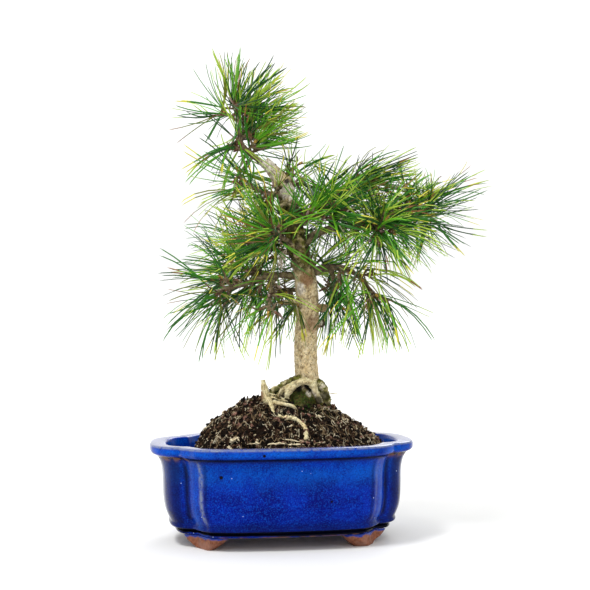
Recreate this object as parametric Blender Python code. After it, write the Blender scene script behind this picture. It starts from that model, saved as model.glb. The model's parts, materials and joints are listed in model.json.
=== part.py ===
"""Pine bonsai: a tapering trunk with its boughs, surface roots and masses of needles,
growing from a mound of soil in a glazed pot that stands on four clay feet.

Metres, +Z up. X runs along the pot, Y from its front to its back. The origin is the middle
of the whole plant's box, on the level that the feet stand on.
"""

import math
import random
from collections import namedtuple

import bmesh
import bpy
import numpy as np
from mathutils import Vector

MM = 0.001
GAP = 0.3 * MM

# Pot
RIM_LENGTH = 203 * MM
RIM_DEPTH = 160 * MM
RIM_HEIGHT = 75.5 * MM
LIP_OVERHANG = 9.5 * MM
WALL = 6 * MM
WALL_THICKENING = 3 * MM
FOOT_HEIGHT = 9.4 * MM
FLOOR_THICKNESS = 7.3 * MM

# The pot's plan from the middle of its front to the middle of its side, past the corner's ridge and
# crease, in shares of the body's half length and half depth
PLAN_QUARTER = (
    (0, 1), (0.35, 0.98), (0.55, 0.94), (0.67, 0.875), (0.745, 0.76), (0.80, 0.62),
    (0.87, 0.575), (0.935, 0.49), (0.978, 0.345), (0.995, 0.17), (1, 0),
)

# The pot's outside from its underside over the lip to its inner edge, as outset from the body and
# height, in mm
POT_SECTION = (
    (-10.6, 9.7), (-9.3, 10.9), (-9.9, 12.6), (-5.3, 14.4), (-4.7, 16.0), (-4.9, 18.2), (-3.2, 22.0),
    (-1.1, 30.0), (-0.2, 41.0), (0.1, 53.0), (1.4, 60.5), (4.0, 66.0), (6.5, 68.3), (8.8, 69.1),
    (9.5, 70.6), (9.5, 74.2), (8.5, 75.5), (-2.0, 75.5), (-3.0, 74.0),
)

# Feet, as the middle and half sizes of their rings and the share of the foot's height, in mm
FOOT_SECTIONS = ((57, 44, 7, 6, 0), (58, 43.5, 12.5, 10, 0.4), (60.5, 42.5, 17.5, 15.5, 1))
FOOT_HEART = (52, 33)
FOOT_SQUARENESS = 3
FOOT_SIDES = 16
HALVINGS = 10

# Soil, its mound steeper to the left than to the right
SOIL_EDGE = 62 * MM
SOIL_TOP = 102 * MM
SOIL_DOME = 46 * MM
SOIL_SHAPES = (0.65, 1.2, 1.05)
SOIL_SPREADS = (66 * MM, 92 * MM)
SOIL_SPREAD_DEPTH = 66 * MM
SOIL_MIDDLE = -2 * MM
HEAP_PLACE = (-17 * MM, -3 * MM)
HEAP_SPREAD = (16 * MM, 11 * MM)
HEAP_HEIGHT = 6.5 * MM
SOIL_RINGS = 8
SEAT_PLACE = (14 * MM, -2.0 * MM)
SEAT_RADIUS = 21 * MM
SEAT_SLOPE = 0.85
SEAT_EDGE = 8 * MM
SOIL_CUTTER_DEPTH = 25 * MM

# Trunk, as stations of place across, place in depth, height and radius
TRUNK_STATIONS = (
    (15.5, -1, 102.3, 18.2),
    (16.0, -1, 107.5, 17.6),
    (17.8, -1, 113, 15.2),
    (19.9, 0, 118, 11.6),
    (20.9, 0, 124, 9.2),
    (20.4, 0, 138, 8.8),
    (20.6, 1, 155, 8.6),
    (22.3, 1, 172, 8.6),
    (21.8, 0, 190, 8.5),
    (19.6, -1, 206, 8.4),
    (15.4, -1, 224, 8.4),
    (11.0, 0, 242, 8.0),
    (8.0, 0, 260, 7.0),
    (5.0, 0, 274, 5.8),
    (-3.6, -1, 285, 4.8),
    (-11.0, -2, 293.5, 3.9),
)
TRUNK_SIDES = 12
LIMB_SIDES = 6
FLARE_LOBES = 5
FLARE_DEPTH = 0.16
FLARE_HEIGHT = 18 * MM
SCAR_STUB = ((22.3, -1, 166.5), (33.6, -4, 166.0), (3.6, 3.1))
SCAR_STUB_SIDES = 8

# Foliage
GOLDEN_ANGLE = math.radians(137.5)
GOLDEN_SHARE = 0.618
NEEDLE_LENGTH = 51 * MM
NEEDLE_THICKNESS = 0.9 * MM
SHEATH_WIDTH = 1.4 * MM
SHEATH_SHARE = 0.14
PAIR_SPREAD = math.radians(7)
STEM_ZONE = 15 * MM
TWIG_ZONE = 9 * MM
TWIG_RADIUS = 1.7 * MM
TWIG_TAPER = 0.8
TWIG_SIDES = 3
STEM_STRETCH = 1.3
STEM_SHARE = 0.6
ZONE_SHARE = 0.75
STEM_SIDES = 5
TUFT_RADIUS = 2.2 * MM
TWIG_SPREAD = math.radians(55)
TWIG_LENGTHS = (0.85, 1.15)
NEEDLE_LENGTHS = (0.8, 1.05)
NEARLY_UPRIGHT = 0.05
LIMB_MARGIN = 1.6 * MM
NEEDLE_MARGIN = 2.0 * MM
ROOT_SPACING = 2.0 * MM
SECOND_NEEDLE = 0.96
LEAN_RANGE = (100, 18)
LEAN_SPREAD = 8
NEEDLE_TESTS = 9
SAMPLE_SPACING = 12 * MM
TRIES = 10

Limb = namedtuple("Limb", "name parent points radii")
Mass = namedtuple("Mass", "name parent tip twigs twig_length pairs lift seed")

BOUGHS = (
    Limb("bough_leader", "trunk", ((-2, 0, 283), (-15, -2, 294), (-28, -4, 305), (-31, -4, 317)), (3.7, 2.5)),
    Limb("bough_upper_left", "trunk", ((8, 0, 263), (-2, -6, 266), (-13, -9, 269)), (3.3, 2.4)),
    Limb("bough_upper_back", "trunk", ((7, 0, 266), (10, 12, 272), (11, 20, 279)), (3.0, 2.2)),
    Limb("bough_right_high", "trunk", ((9, 0, 250), (28, 4, 256), (46, 8, 264), (58, 8, 271)), (4.0, 2.4)),
    Limb("bough_right_inner", "trunk", ((11, 0, 240), (20, -14, 246), (32, -20, 250)), (3.2, 2.2)),
    Limb("bough_right_main", "trunk", ((15, 0, 226), (34, -6, 238), (54, -10, 242), (72, -9, 242)),
         (4.6, 3.2)),
    Limb("bough_right_tip", "bough_right_main", ((72, -9, 242), (90, -7, 245), (108, -5, 251)), (3.1, 2.3)),
    Limb("bough_right_front", "bough_right_main", ((56, -10, 242), (63, -24, 239), (68, -36, 236)),
         (2.7, 2.1)),
    Limb("bough_right_far", "bough_right_main", ((66, -9, 242), (78, 8, 248), (90, 20, 254)), (2.7, 2.1)),
    Limb("bough_right_low", "trunk", ((20, 0, 204), (42, -5, 210), (56, -9, 206), (64, -11, 200)),
         (3.8, 2.4)),
    Limb("bough_right_low_inner", "bough_right_low", ((40, -5, 209), (44, 4, 200), (45, 8, 191)), (2.4, 2.0)),
    Limb("bough_right_back", "trunk", ((20, 0, 200), (26, 16, 204), (32, 32, 206)), (3.2, 2.3)),
    Limb("bough_back_centre", "trunk", ((13, 0, 232), (12, 20, 239), (12, 36, 244)), (3.2, 2.3)),
    Limb("bough_back_high_right", "bough_right_high", ((34, 5, 258), (42, 20, 260), (48, 32, 262)),
         (2.5, 2.1)),
    Limb("bough_left_mid", "trunk", ((15, 0, 226), (4, -12, 231), (-1, -18, 233)), (2.7, 2.1)),
    Limb("bough_left_low", "trunk", ((20, 0, 202), (0, -3, 204), (-18, -6, 200), (-30, -8, 196)), (3.8, 2.5)),
    Limb("bough_left_low_far", "bough_left_low", ((-6, -4, 203), (-14, 8, 206), (-20, 16, 208)), (2.4, 2.0)),
    Limb("bough_left_low_inner", "bough_left_low", ((-2, -4, 204), (-7, -16, 196), (-9, -21, 188)),
         (2.4, 2.0)),
    Limb("bough_left_back", "trunk", ((15, 0, 220), (0, 16, 225), (-14, 32, 229)), (3.2, 2.3)),
    Limb("bough_back_low", "trunk", ((21, 0, 190), (14, 18, 193), (8, 34, 194)), (3.0, 2.2)),
)

MASSES = (
    Mass("needles_apex", "bough_leader", (-30, -3, 333), 4, 15, 26, 0.1, 11),
    Mass("needles_leader", "bough_leader", (-33, -11, 301), 2, 9, 14, 0.0, 31),
    Mass("needles_upper_left", "bough_upper_left", (-33, -10, 275), 3, 12, 20, 0.0, 12),
    Mass("needles_upper_back", "bough_upper_back", (10, 26, 291), 3, 12, 18, 0.1, 13),
    Mass("needles_right_high", "bough_right_high", (69, 8, 281), 3, 13, 20, 0.25, 14),
    Mass("needles_right_inner", "bough_right_inner", (44, -24, 256), 3, 11, 18, 0.1, 15),
    Mass("needles_right_tip", "bough_right_tip", (119, -3, 256), 4, 13, 22, 0.05, 16),
    Mass("needles_right_front", "bough_right_front", (72, -49, 234), 3, 11, 22, 0.0, 17),
    Mass("needles_right_far", "bough_right_far", (100, 28, 258), 3, 12, 18, 0.1, 18),
    Mass("needles_right_low", "bough_right_low", (75, -18, 184), 3, 13, 22, -0.3, 19),
    Mass("needles_right_low_inner", "bough_right_low_inner", (43, 12, 177), 2, 10, 14, -0.3, 20),
    Mass("needles_right_back", "bough_right_back", (40, 48, 208), 3, 12, 20, -0.05, 21),
    Mass("needles_back_centre", "bough_back_centre", (12, 52, 250), 3, 12, 20, 0.1, 22),
    Mass("needles_back_high_right", "bough_back_high_right", (54, 44, 266), 3, 12, 18, 0.15, 23),
    Mass("needles_left_mid", "bough_left_mid", (-9, -27, 236), 3, 11, 18, 0.0, 24),
    Mass("needles_left_low", "bough_left_low", (-46, -10, 192), 4, 14, 24, -0.1, 25),
    Mass("needles_left_low_far", "bough_left_low_far", (-30, 24, 209), 3, 12, 18, 0.0, 26),
    Mass("needles_left_low_inner", "bough_left_low_inner", (-11, -26, 175), 3, 11, 18, -0.35, 27),
    Mass("needles_left_back", "bough_left_back", (-26, 46, 234), 3, 12, 20, 0.05, 28),
    Mass("needles_back_low", "bough_back_low", (4, 50, 192), 3, 12, 18, -0.2, 29),
    Mass("needles_trunk_tuft", "trunk", (1, -11, 182), 1, 6, 8, -0.1, 30),
)

ROOTS = (
    Limb("root_arch", "trunk", ((1, -10, 106), (4, -17, 112), (8.5, -19, 118.5), (16, -19, 121.5),
                                (22.5, -17.5, 119), (26, -15.5, 113), (29, -15, 104)), (2.6, 2.4)),
    Limb("root_left_stub", "trunk", ((-9, -9, 98), (-12.5, -12, 109), (-14.5, -12, 122)), (4.6, 1.9)),
    Limb("root_left", "trunk", ((19, -4, 123), (11, -10, 122), (4, -11, 120), (-2, -11, 116.5),
                                (-7, -10, 113.5), (-12, -5, 100)), (2.9, 1.7)),
    Limb("root_right", "trunk", ((24, -3, 119), (31, -5, 116), (34, -6, 108), (33, -6, 94)), (4.2, 4.4)),
    Limb("root_back", "trunk", ((19, 2, 112), (22, 16, 108), (21, 28, 99), (18, 38, 86)), (6.0, 3.0)),
    Limb("root_runner", "root_left_stub",
         ((-13, -12, 110), (-10, -17, 106), (-8.5, -23, 102), (-8.5, -29, 98.5), (-4, -33.5, 95.5),
          (1, -35, 95), (6.5, -36, 94), (11.5, -39, 91), (14.5, -44, 86), (13.5, -50, 79)), (1.9, 1.4)),
)


def clear_scene():
    for item in list(bpy.data.objects):
        bpy.data.objects.remove(item, do_unlink=True)


def make_material(name, colour, roughness):
    material = bpy.data.materials.new(name)
    material.use_nodes = True
    shader = material.node_tree.nodes["Principled BSDF"]
    shader.inputs["Base Color"].default_value = (*colour, 1.0)
    shader.inputs["Roughness"].default_value = roughness
    shader.inputs["Metallic"].default_value = 0.0
    return material


def new_object(name, mesh, material):
    item = bpy.data.objects.new(name, mesh)
    bpy.context.scene.collection.objects.link(item)
    mesh.materials.clear()
    mesh.materials.append(material)
    return item


def loft(name, rings, material):
    """A closed body through rings of the same number of points, capped at both ends."""
    shape = bmesh.new()
    loops = [[shape.verts.new(point) for point in ring] for ring in rings]
    count = len(rings[0])
    for lower, upper in zip(loops, loops[1:]):
        for index in range(count):
            following = (index + 1) % count
            shape.faces.new((lower[index], lower[following], upper[following], upper[index]))
    shape.faces.new(loops[0])
    shape.faces.new(loops[-1])
    bmesh.ops.recalc_face_normals(shape, faces=shape.faces)
    bmesh.ops.triangulate(shape, faces=shape.faces)
    mesh = bpy.data.meshes.new(name)
    shape.to_mesh(mesh)
    shape.free()
    return new_object(name, mesh, material)


# Tubes along smooth paths

def smooth_path(points, steps=2):
    """Points on a Catmull-Rom curve through the given points, in metres."""
    knots = [Vector(point) * MM for point in points]
    padded = [2 * knots[0] - knots[1]] + knots + [2 * knots[-1] - knots[-2]]
    path = []
    for before, start, end, after in zip(padded, padded[1:], padded[2:], padded[3:]):
        for step in range(steps):
            t = step / steps
            path.append(0.5 * (2 * start + (end - before) * t
                               + (2 * before - 5 * start + 4 * end - after) * t * t
                               + (3 * start - before - 3 * end + after) * t * t * t))
    path.append(knots[-1])
    return path


def path_directions(path):
    last = len(path) - 1
    return [(path[min(i + 1, last)] - path[max(i - 1, 0)]).normalized() for i in range(len(path))]


def taper(radii, count):
    first, last = radii
    return [(first + (last - first) * i / (count - 1)) * MM for i in range(count)]


def tube_rings(path, radii, sides, outline=None):
    """Rings square to the path, turned as little as possible from one to the next."""
    directions = path_directions(path)
    across = directions[0].orthogonal().normalized()
    rings = []
    for centre, direction, radius in zip(path, directions, radii):
        across = (across - direction * across.dot(direction)).normalized()
        above = direction.cross(across)
        ring = []
        for side in range(sides):
            angle = math.tau * side / sides
            reach = radius * (outline(centre, angle) if outline else 1.0)
            ring.append(centre + across * math.cos(angle) * reach + above * math.sin(angle) * reach)
        rings.append(ring)
    return rings


def lengthened(path, extra):
    """The same path, with both ends moved outwards by extra."""
    directions = path_directions(path)
    return [path[0] - directions[0] * extra] + path[1:-1] + [path[-1] + directions[-1] * extra]


# Boolean tools

def apply_boolean(target, operation, operand=None, collection=None):
    modifier = target.modifiers.new("cut", "BOOLEAN")
    modifier.operation = operation
    modifier.solver = "EXACT"
    if collection is None:
        modifier.object = operand
    else:
        modifier.operand_type = "COLLECTION"
        modifier.collection = collection
    bpy.context.view_layer.update()
    evaluated = target.evaluated_get(bpy.context.evaluated_depsgraph_get())
    material = target.data.materials[0]
    joined = bpy.data.meshes.new_from_object(evaluated)
    target.modifiers.clear()
    target.data = joined
    joined.materials.clear()
    joined.materials.append(material)


def cut_clear(target, cutters):
    """Cuts the target where it enters its neighbours, which the cutters stand for."""
    for cutter in cutters:
        apply_boolean(target, "DIFFERENCE", operand=cutter)
        bpy.data.objects.remove(cutter, do_unlink=True)
    keep_largest_body(target)


def face_groups(shape):
    """The connected bodies of a mesh, as lists of faces."""
    left = set(shape.faces)
    groups = []
    while left:
        stack = [left.pop()]
        group = []
        while stack:
            face = stack.pop()
            group.append(face)
            for edge in face.edges:
                for other in edge.link_faces:
                    if other in left:
                        left.remove(other)
                        stack.append(other)
        groups.append(group)
    return groups


def box_size(faces):
    points = [vertex.co for face in faces for vertex in face.verts]
    spans = [max(p[axis] for p in points) - min(p[axis] for p in points) for axis in range(3)]
    return Vector(spans).length


def keep_largest_body(target):
    """Fills sealed hollows and drops loose scraps, which are all smaller than the body."""
    shape = bmesh.new()
    shape.from_mesh(target.data)
    groups = sorted(face_groups(shape), key=box_size)
    for group in groups[:-1]:
        bmesh.ops.delete(shape, geom=group, context="FACES")
    bmesh.ops.triangulate(shape, faces=shape.faces)
    shape.to_mesh(target.data)
    shape.free()


# Pot

def quarter_plan(outset):
    """The plan's points in one quarter, moved outwards square to the outline."""
    half_sizes = (RIM_LENGTH / 2 - LIP_OVERHANG, RIM_DEPTH / 2 - LIP_OVERHANG)
    points = [Vector((x * half_sizes[0], y * half_sizes[1])) for x, y in PLAN_QUARTER]
    before = Vector((-points[1].x, points[1].y))
    after = Vector((points[-2].x, -points[-2].y))
    directions = path_directions([before] + points + [after])[1:-1]
    return [point + Vector((-along.y, along.x)) * outset for point, along in zip(points, directions)]


def lobed_ring(outset, height):
    """The pot's plan at one height: four bulging sides that meet in a crease at each corner."""
    quarter = [(point.x, point.y) for point in quarter_plan(outset)]
    ring = quarter[:-1]
    ring += [(x, -y) for x, y in reversed(quarter)][:-1]
    ring += [(-x, -y) for x, y in quarter][:-1]
    ring += [(-x, y) for x, y in reversed(quarter)][:-1]
    return [Vector((x, y, height)) for x, y in ring]


def inner_outset(height):
    """How far inside the body's outer face the pot's inner wall lies at a height."""
    floor = FOOT_HEIGHT + GAP + FLOOR_THICKNESS
    share = (height - floor) / (RIM_HEIGHT - floor)
    return -WALL - WALL_THICKENING * (1 - min(1.0, max(0.0, share)))


def make_pot(material):
    rings = [lobed_ring(outset * MM, height * MM) for outset, height in POT_SECTION]
    for height in (SOIL_EDGE, FOOT_HEIGHT + GAP + FLOOR_THICKNESS):
        rings.append(lobed_ring(inner_outset(height), height))
    return loft("pot", rings, material)


def inside(point, ring):
    """Whether a point is inside an outline, both seen from above."""
    crossings = 0
    for first, second in zip(ring, ring[1:] + ring[:1]):
        if (first.y > point.y) != (second.y > point.y):
            share = (point.y - first.y) / (second.y - first.y)
            crossings += point.x < first.x + (second.x - first.x) * share
    return crossings % 2 == 1


def drawn_in(point, heart, outline):
    """The point, or where the line to it from the heart leaves the outline."""
    if inside(point, outline):
        return point
    low, high = 0.0, 1.0
    for halving in range(HALVINGS):
        share = (low + high) / 2
        if inside(heart.lerp(point, share), outline):
            low = share
        else:
            high = share
    return heart.lerp(point, low)


def foot_ring(section, depth_side, side):
    """A squarish oval, drawn in where it would stand out from under the pot."""
    middle_x, middle_y, half_length, half_depth, share = section
    height = FOOT_HEIGHT * share
    underside = lobed_ring(POT_SECTION[0][0] * MM, height)
    heart = Vector((side * FOOT_HEART[0] * MM, depth_side * FOOT_HEART[1] * MM, height))
    ring = []
    for number in range(FOOT_SIDES):
        angle = math.tau * (number + 0.5) / FOOT_SIDES
        spread = abs(math.cos(angle)) ** FOOT_SQUARENESS + abs(math.sin(angle)) ** FOOT_SQUARENESS
        reach = spread ** (-1 / FOOT_SQUARENESS) * MM
        point = Vector((side * middle_x * MM + half_length * reach * math.cos(angle),
                        depth_side * middle_y * MM + half_depth * reach * math.sin(angle), height))
        ring.append(drawn_in(point, heart, underside))
    return ring


def make_feet(material):
    for depth_name, depth_side in (("front", -1), ("back", 1)):
        for side_name, side in (("left", -1), ("right", 1)):
            rings = [foot_ring(section, depth_side, side) for section in FOOT_SECTIONS]
            loft(f"foot_{depth_name}_{side_name}", rings, material)


# Soil

def mound_height(x, y):
    """The mound without its seat: steep to the left, gentle to the front and the right."""
    across = x - SOIL_MIDDLE
    turn = across / max(math.hypot(across, y), GAP)
    left, front, right = SOIL_SHAPES
    shape = front + ((left if turn < 0 else right) - front) * turn * turn
    away = math.hypot(across / SOIL_SPREADS[turn > 0], y / SOIL_SPREAD_DEPTH)
    return SOIL_EDGE + SOIL_DOME * max(0.0, 1 - away * away) ** shape


def soil_height(x, y):
    """Height of the mound, with a level seat under the trunk and a heap to its left."""
    beyond_seat = max(0.0, math.hypot(x - SEAT_PLACE[0], y - SEAT_PLACE[1]) - SEAT_RADIUS)
    from_heap = math.hypot((x - HEAP_PLACE[0]) / HEAP_SPREAD[0], (y - HEAP_PLACE[1]) / HEAP_SPREAD[1])
    heap = HEAP_HEIGHT * math.exp(-from_heap * from_heap) * min(1.0, beyond_seat / SEAT_EDGE)
    return max(min(mound_height(x, y), SOIL_TOP), SOIL_TOP - SEAT_SLOPE * beyond_seat) + heap


def soil_rings(raised=0.0):
    """Rings of the mound's surface, from the pot's wall in to the seat under the trunk."""
    edge = lobed_ring(inner_outset(SOIL_EDGE) - GAP, SOIL_EDGE)
    middle = Vector((*SEAT_PLACE, 0.0))
    rings = []
    for step in range(SOIL_RINGS + 1):
        share = step / SOIL_RINGS
        ring = []
        for point in edge:
            outward = Vector((point.x, point.y, 0.0)) - middle
            seat = middle + outward.normalized() * SEAT_RADIUS
            place = Vector((point.x, point.y, 0.0)).lerp(seat, share)
            height = SOIL_EDGE if step == 0 else soil_height(place.x, place.y)
            ring.append(Vector((place.x, place.y, height + raised)))
        rings.append(ring)
    return rings


def make_soil(material):
    floor = FOOT_HEIGHT + GAP + FLOOR_THICKNESS + GAP
    bottom = lobed_ring(inner_outset(floor) - GAP, floor)
    return loft("soil", [bottom] + soil_rings(), material)


def soil_cutter(material):
    """The mound raised by the gap, to trim what lies on it."""
    base = [Vector((point.x, point.y, SOIL_EDGE - SOIL_CUTTER_DEPTH)) for point in soil_rings()[0]]
    return loft("soil_cutter", [base] + soil_rings(raised=GAP), material)


# Trunk, boughs and roots

def flare(centre, angle):
    """Buttresses at the foot of the trunk, which fade out above it."""
    height = centre.z - SOIL_TOP
    share = max(0.0, 1 - height / FLARE_HEIGHT)
    return 1 + FLARE_DEPTH * share * math.cos(FLARE_LOBES * angle)


def trunk_path():
    return smooth_path([station[:3] for station in TRUNK_STATIONS])


def trunk_radii(extra=0.0):
    """Radii at the points of trunk_path, smoothed in the same way."""
    rows = smooth_path([(station[3], 0, 0) for station in TRUNK_STATIONS])
    return [row.x + extra for row in rows]


def trunk_rings(extra=0.0):
    path = trunk_path()
    rings = tube_rings(path, trunk_radii(extra), TRUNK_SIDES, flare)
    foot = path[0].z - extra
    rings[0] = [Vector((point.x, point.y, foot)) for point in rings[0]]
    return rings


def make_trunk(material):
    trunk = loft("trunk", trunk_rings(), material)
    start, end, radii = SCAR_STUB
    path = smooth_path((start, end), steps=1)
    stub = loft("stub", tube_rings(path, taper(radii, len(path)), SCAR_STUB_SIDES), material)
    apply_boolean(trunk, "UNION", operand=stub)
    bpy.data.objects.remove(stub, do_unlink=True)
    keep_largest_body(trunk)
    return trunk


def limb_cutter(name, limbs, material):
    """A neighbour fattened by the gap."""
    if name == "trunk":
        return loft("trunk_cutter", trunk_rings(GAP), material)
    limb = limbs[name]
    path = smooth_path(limb.points)
    radii = [radius + GAP for radius in taper(limb.radii, len(path))]
    return loft(name + "_cutter", tube_rings(lengthened(path, GAP), radii, LIMB_SIDES), material)


def make_limb(limb, limbs, material, trims):
    path = smooth_path(limb.points)
    body = loft(limb.name, tube_rings(path, taper(limb.radii, len(path)), LIMB_SIDES), material)
    cut_clear(body, [limb_cutter(name, limbs, material) for name in trims])
    return body


def make_boughs(limbs, material):
    for bough in BOUGHS:
        make_limb(bough, limbs, material, [bough.parent])


def make_roots(limbs, material):
    for index, root in enumerate(ROOTS):
        earlier = [other.name for other in ROOTS[:index]]
        body = make_limb(root, limbs, material, ["trunk"] + earlier)
        cut_clear(body, [soil_cutter(material)])


# Foliage

def limb_samples(limbs):
    """Points and radii along every limb, close enough together to test a needle against."""
    samples = list(zip(trunk_path(), trunk_radii()))
    for limb in limbs.values():
        path = smooth_path(limb.points, steps=6)
        samples += list(zip(path, taper(limb.radii, len(path))))
    between = []
    for (start, start_radius), (end, end_radius) in zip(samples, samples[1:]):
        if (end - start).length < SAMPLE_SPACING:
            between.append(((start + end) / 2, max(start_radius, end_radius)))
    return samples + between


def clear_of_limbs(point, samples, margin):
    return all((point - place).length > radius + margin for place, radius in samples)


def nearest_gap(start, end, others):
    """The least distance from one segment to many, given as an array of their ends."""
    first = np.array(start)
    along = np.array(end) - first
    other_first = others[:, 0]
    other_along = others[:, 1] - other_first
    between = first - other_first
    a = along @ along
    e = np.einsum("ij,ij->i", other_along, other_along)
    b = other_along @ along
    c = between @ along
    f = np.einsum("ij,ij->i", other_along, between)
    t = np.clip((b * f - c * e) / np.maximum(a * e - b * b, 1e-18), 0, 1)
    u = np.clip((b * t + f) / e, 0, 1)
    t = np.clip((b * u - c) / a, 0, 1)
    apart = between + t[:, None] * along - u[:, None] * other_along
    return float(np.sqrt(np.einsum("ij,ij->i", apart, apart)).min())


def mass_start(mass, limbs):
    """The point of the parent's path nearest to the mass: a bough's end, or the side of a limb."""
    tip = Vector(mass.tip) * MM
    path = trunk_path() if mass.parent == "trunk" else smooth_path(limbs[mass.parent].points)
    return min(path, key=lambda point: (point - tip).length)


def root_radius(mass, limbs):
    """A stem that carries a bough on has the bough's radius, and one from a limb's side is slimmer."""
    limb = limbs.get(mass.parent)
    carries_on = limb and (mass_start(mass, limbs) - Vector(limb.points[-1]) * MM).length < GAP
    return limb.radii[1] * MM if carries_on else TUFT_RADIUS


def turned(axis, angle_out, angle_round):
    """A direction at angle_out from the axis, turned round it by angle_round."""
    across = axis.cross(Vector((0, 0, 1)))
    if across.length < NEARLY_UPRIGHT:
        across = Vector((1, 0, 0))
    across.normalize()
    above = across.cross(axis)
    side = across * math.cos(angle_round) + above * math.sin(angle_round)
    return axis * math.cos(angle_out) + side * math.sin(angle_out)


def mass_shoots(mass, limbs, samples):
    """The stem, and side twigs that leave it by the golden angle, as start and end points."""
    rule = random.Random(mass.seed)
    start = mass_start(mass, limbs)
    end = Vector(mass.tip) * MM
    heading = (end - start).normalized()
    twig_stretch = min((end - start).length * STEM_SHARE, STEM_ZONE * STEM_STRETCH)
    shoots = [(start, end)]
    turn = rule.uniform(0, math.tau)
    for index in range(mass.twigs):
        place = end - heading * twig_stretch * (1 - index / mass.twigs)
        direction = turned(heading, TWIG_SPREAD, turn + index * GOLDEN_ANGLE)
        tip = place + direction * mass.twig_length * MM * rule.uniform(*TWIG_LENGTHS)
        if clear_of_limbs(tip, samples, 2 * LIMB_MARGIN):
            shoots.append((place, tip))
    return shoots


def needle_places(mass, shoots):
    """Roots, directions, lengths and turns of needle pairs that spiral up the end of each shoot."""
    rule = random.Random(mass.seed + 100)
    places = []
    base_lean, tip_lean = LEAN_RANGE
    share_of_pairs = math.ceil(TRIES * mass.pairs / len(shoots))
    for number, (start, end) in enumerate(shoots):
        axis = (end - start).normalized()
        zone = min(TWIG_ZONE if number else STEM_ZONE, (end - start).length * ZONE_SHARE)
        turn = rule.uniform(0, math.tau)
        for index in range(share_of_pairs):
            share = ((index + 0.5) * GOLDEN_SHARE) % 1
            root = end - axis * (zone * (1 - share) + SHEATH_WIDTH / 2)
            lean = base_lean + (tip_lean - base_lean) * share + rule.uniform(-LEAN_SPREAD, LEAN_SPREAD)
            direction = turned(axis, math.radians(lean), turn + index * GOLDEN_ANGLE)
            direction = (direction + Vector((0, 0, mass.lift))).normalized()
            length = NEEDLE_LENGTH * rule.uniform(*NEEDLE_LENGTHS)
            places.append((root, direction, length, rule.uniform(0, math.pi)))
    rule.shuffle(places)
    return places


def pair_tips(place):
    root, direction, length, turn = place
    side = turned(direction, math.pi / 2, turn)
    reach = direction * length
    lean = side * length * math.tan(PAIR_SPREAD)
    return root + reach + lean, root + reach * SECOND_NEEDLE - lean


def needle_lines(place, from_share=0.0):
    """The two needles of a pair as lines, from a share of their length to their tips."""
    root = place[0]
    return [(tuple(root.lerp(tip, from_share)), tuple(tip)) for tip in pair_tips(place)]


def pair_fits(place, samples, neighbours, own_lines, own_roots):
    """Whether a pair is clear of every limb, of the other masses and of its own mass's needles."""
    root = place[0]
    if any((root - other).length < ROOT_SPACING for other in own_roots):
        return False
    for lines, others in ((needle_lines(place), neighbours), (needle_lines(place, SHEATH_SHARE), own_lines)):
        if len(others) and min(nearest_gap(*line, np.array(others)) for line in lines) < NEEDLE_MARGIN:
            return False
    return all(clear_of_limbs(root.lerp(tip, step / NEEDLE_TESTS), samples, LIMB_MARGIN)
               for tip in pair_tips(place) for step in range(NEEDLE_TESTS + 1))


def plan_foliage(limbs):
    """The shoots and needle pairs of every mass, dealt out in turn so that none crowds another."""
    samples = limb_samples(limbs)
    shoots = {mass.name: mass_shoots(mass, limbs, samples) for mass in MASSES}
    taken = {name: [(tuple(start), tuple(end)) for start, end in parts] for name, parts in shoots.items()}
    own_lines = {mass.name: [] for mass in MASSES}
    waiting = {mass.name: needle_places(mass, shoots[mass.name]) for mass in MASSES}
    pairs = {mass.name: [] for mass in MASSES}
    while any(waiting.values()):
        for mass in MASSES:
            name = mass.name
            if len(pairs[name]) == mass.pairs:
                waiting[name] = []
            if not waiting[name]:
                continue
            place = waiting[name].pop()
            neighbours = [line for other, lines in taken.items() if other != name for line in lines]
            if pair_fits(place, samples, neighbours, own_lines[name], [pair[0] for pair in pairs[name]]):
                pairs[name].append(place)
                taken[name] += needle_lines(place)
                own_lines[name] += needle_lines(place, SHEATH_SHARE)
    return shoots, pairs


def needle_pair(name, place, material):
    """A flat blade with two teeth, which is a pair of needles from one sheath."""
    root, direction, length, turn = place
    side = turned(direction, math.pi / 2, turn)
    flat = direction.cross(side) * NEEDLE_THICKNESS / 2
    first_tip, second_tip = pair_tips(place)
    outline = [root - side * SHEATH_WIDTH / 2, root + side * SHEATH_WIDTH / 2,
               first_tip, root + direction * length * SHEATH_SHARE, second_tip]
    return loft(name, [[point - flat for point in outline], [point + flat for point in outline]], material)


def make_mass(mass, limbs, shoots, pairs, needle_material, bark_material):
    stem_start, stem_end = shoots[0]
    radii = [root_radius(mass, limbs), TWIG_RADIUS]
    body = loft(mass.name, tube_rings([stem_start, stem_end], radii, STEM_SIDES), needle_material)
    cut_clear(body, [limb_cutter(mass.parent, limbs, bark_material)])
    pieces = bpy.data.collections.new("pieces")
    for number, (start, end) in enumerate(shoots[1:]):
        rings = tube_rings([start, end], [TWIG_RADIUS, TWIG_RADIUS * TWIG_TAPER], TWIG_SIDES)
        pieces.objects.link(loft(f"twig_{number}", rings, needle_material))
    for number, place in enumerate(pairs):
        pieces.objects.link(needle_pair(f"pair_{number}", place, needle_material))
    apply_boolean(body, "UNION", collection=pieces)
    for piece in list(pieces.objects):
        bpy.data.objects.remove(piece, do_unlink=True)
    bpy.data.collections.remove(pieces)
    keep_largest_body(body)


def make_foliage(limbs, needle_material, bark_material):
    shoots, pairs = plan_foliage(limbs)
    for mass in MASSES:
        make_mass(mass, limbs, shoots[mass.name], pairs[mass.name], needle_material, bark_material)


# Whole plant

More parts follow.
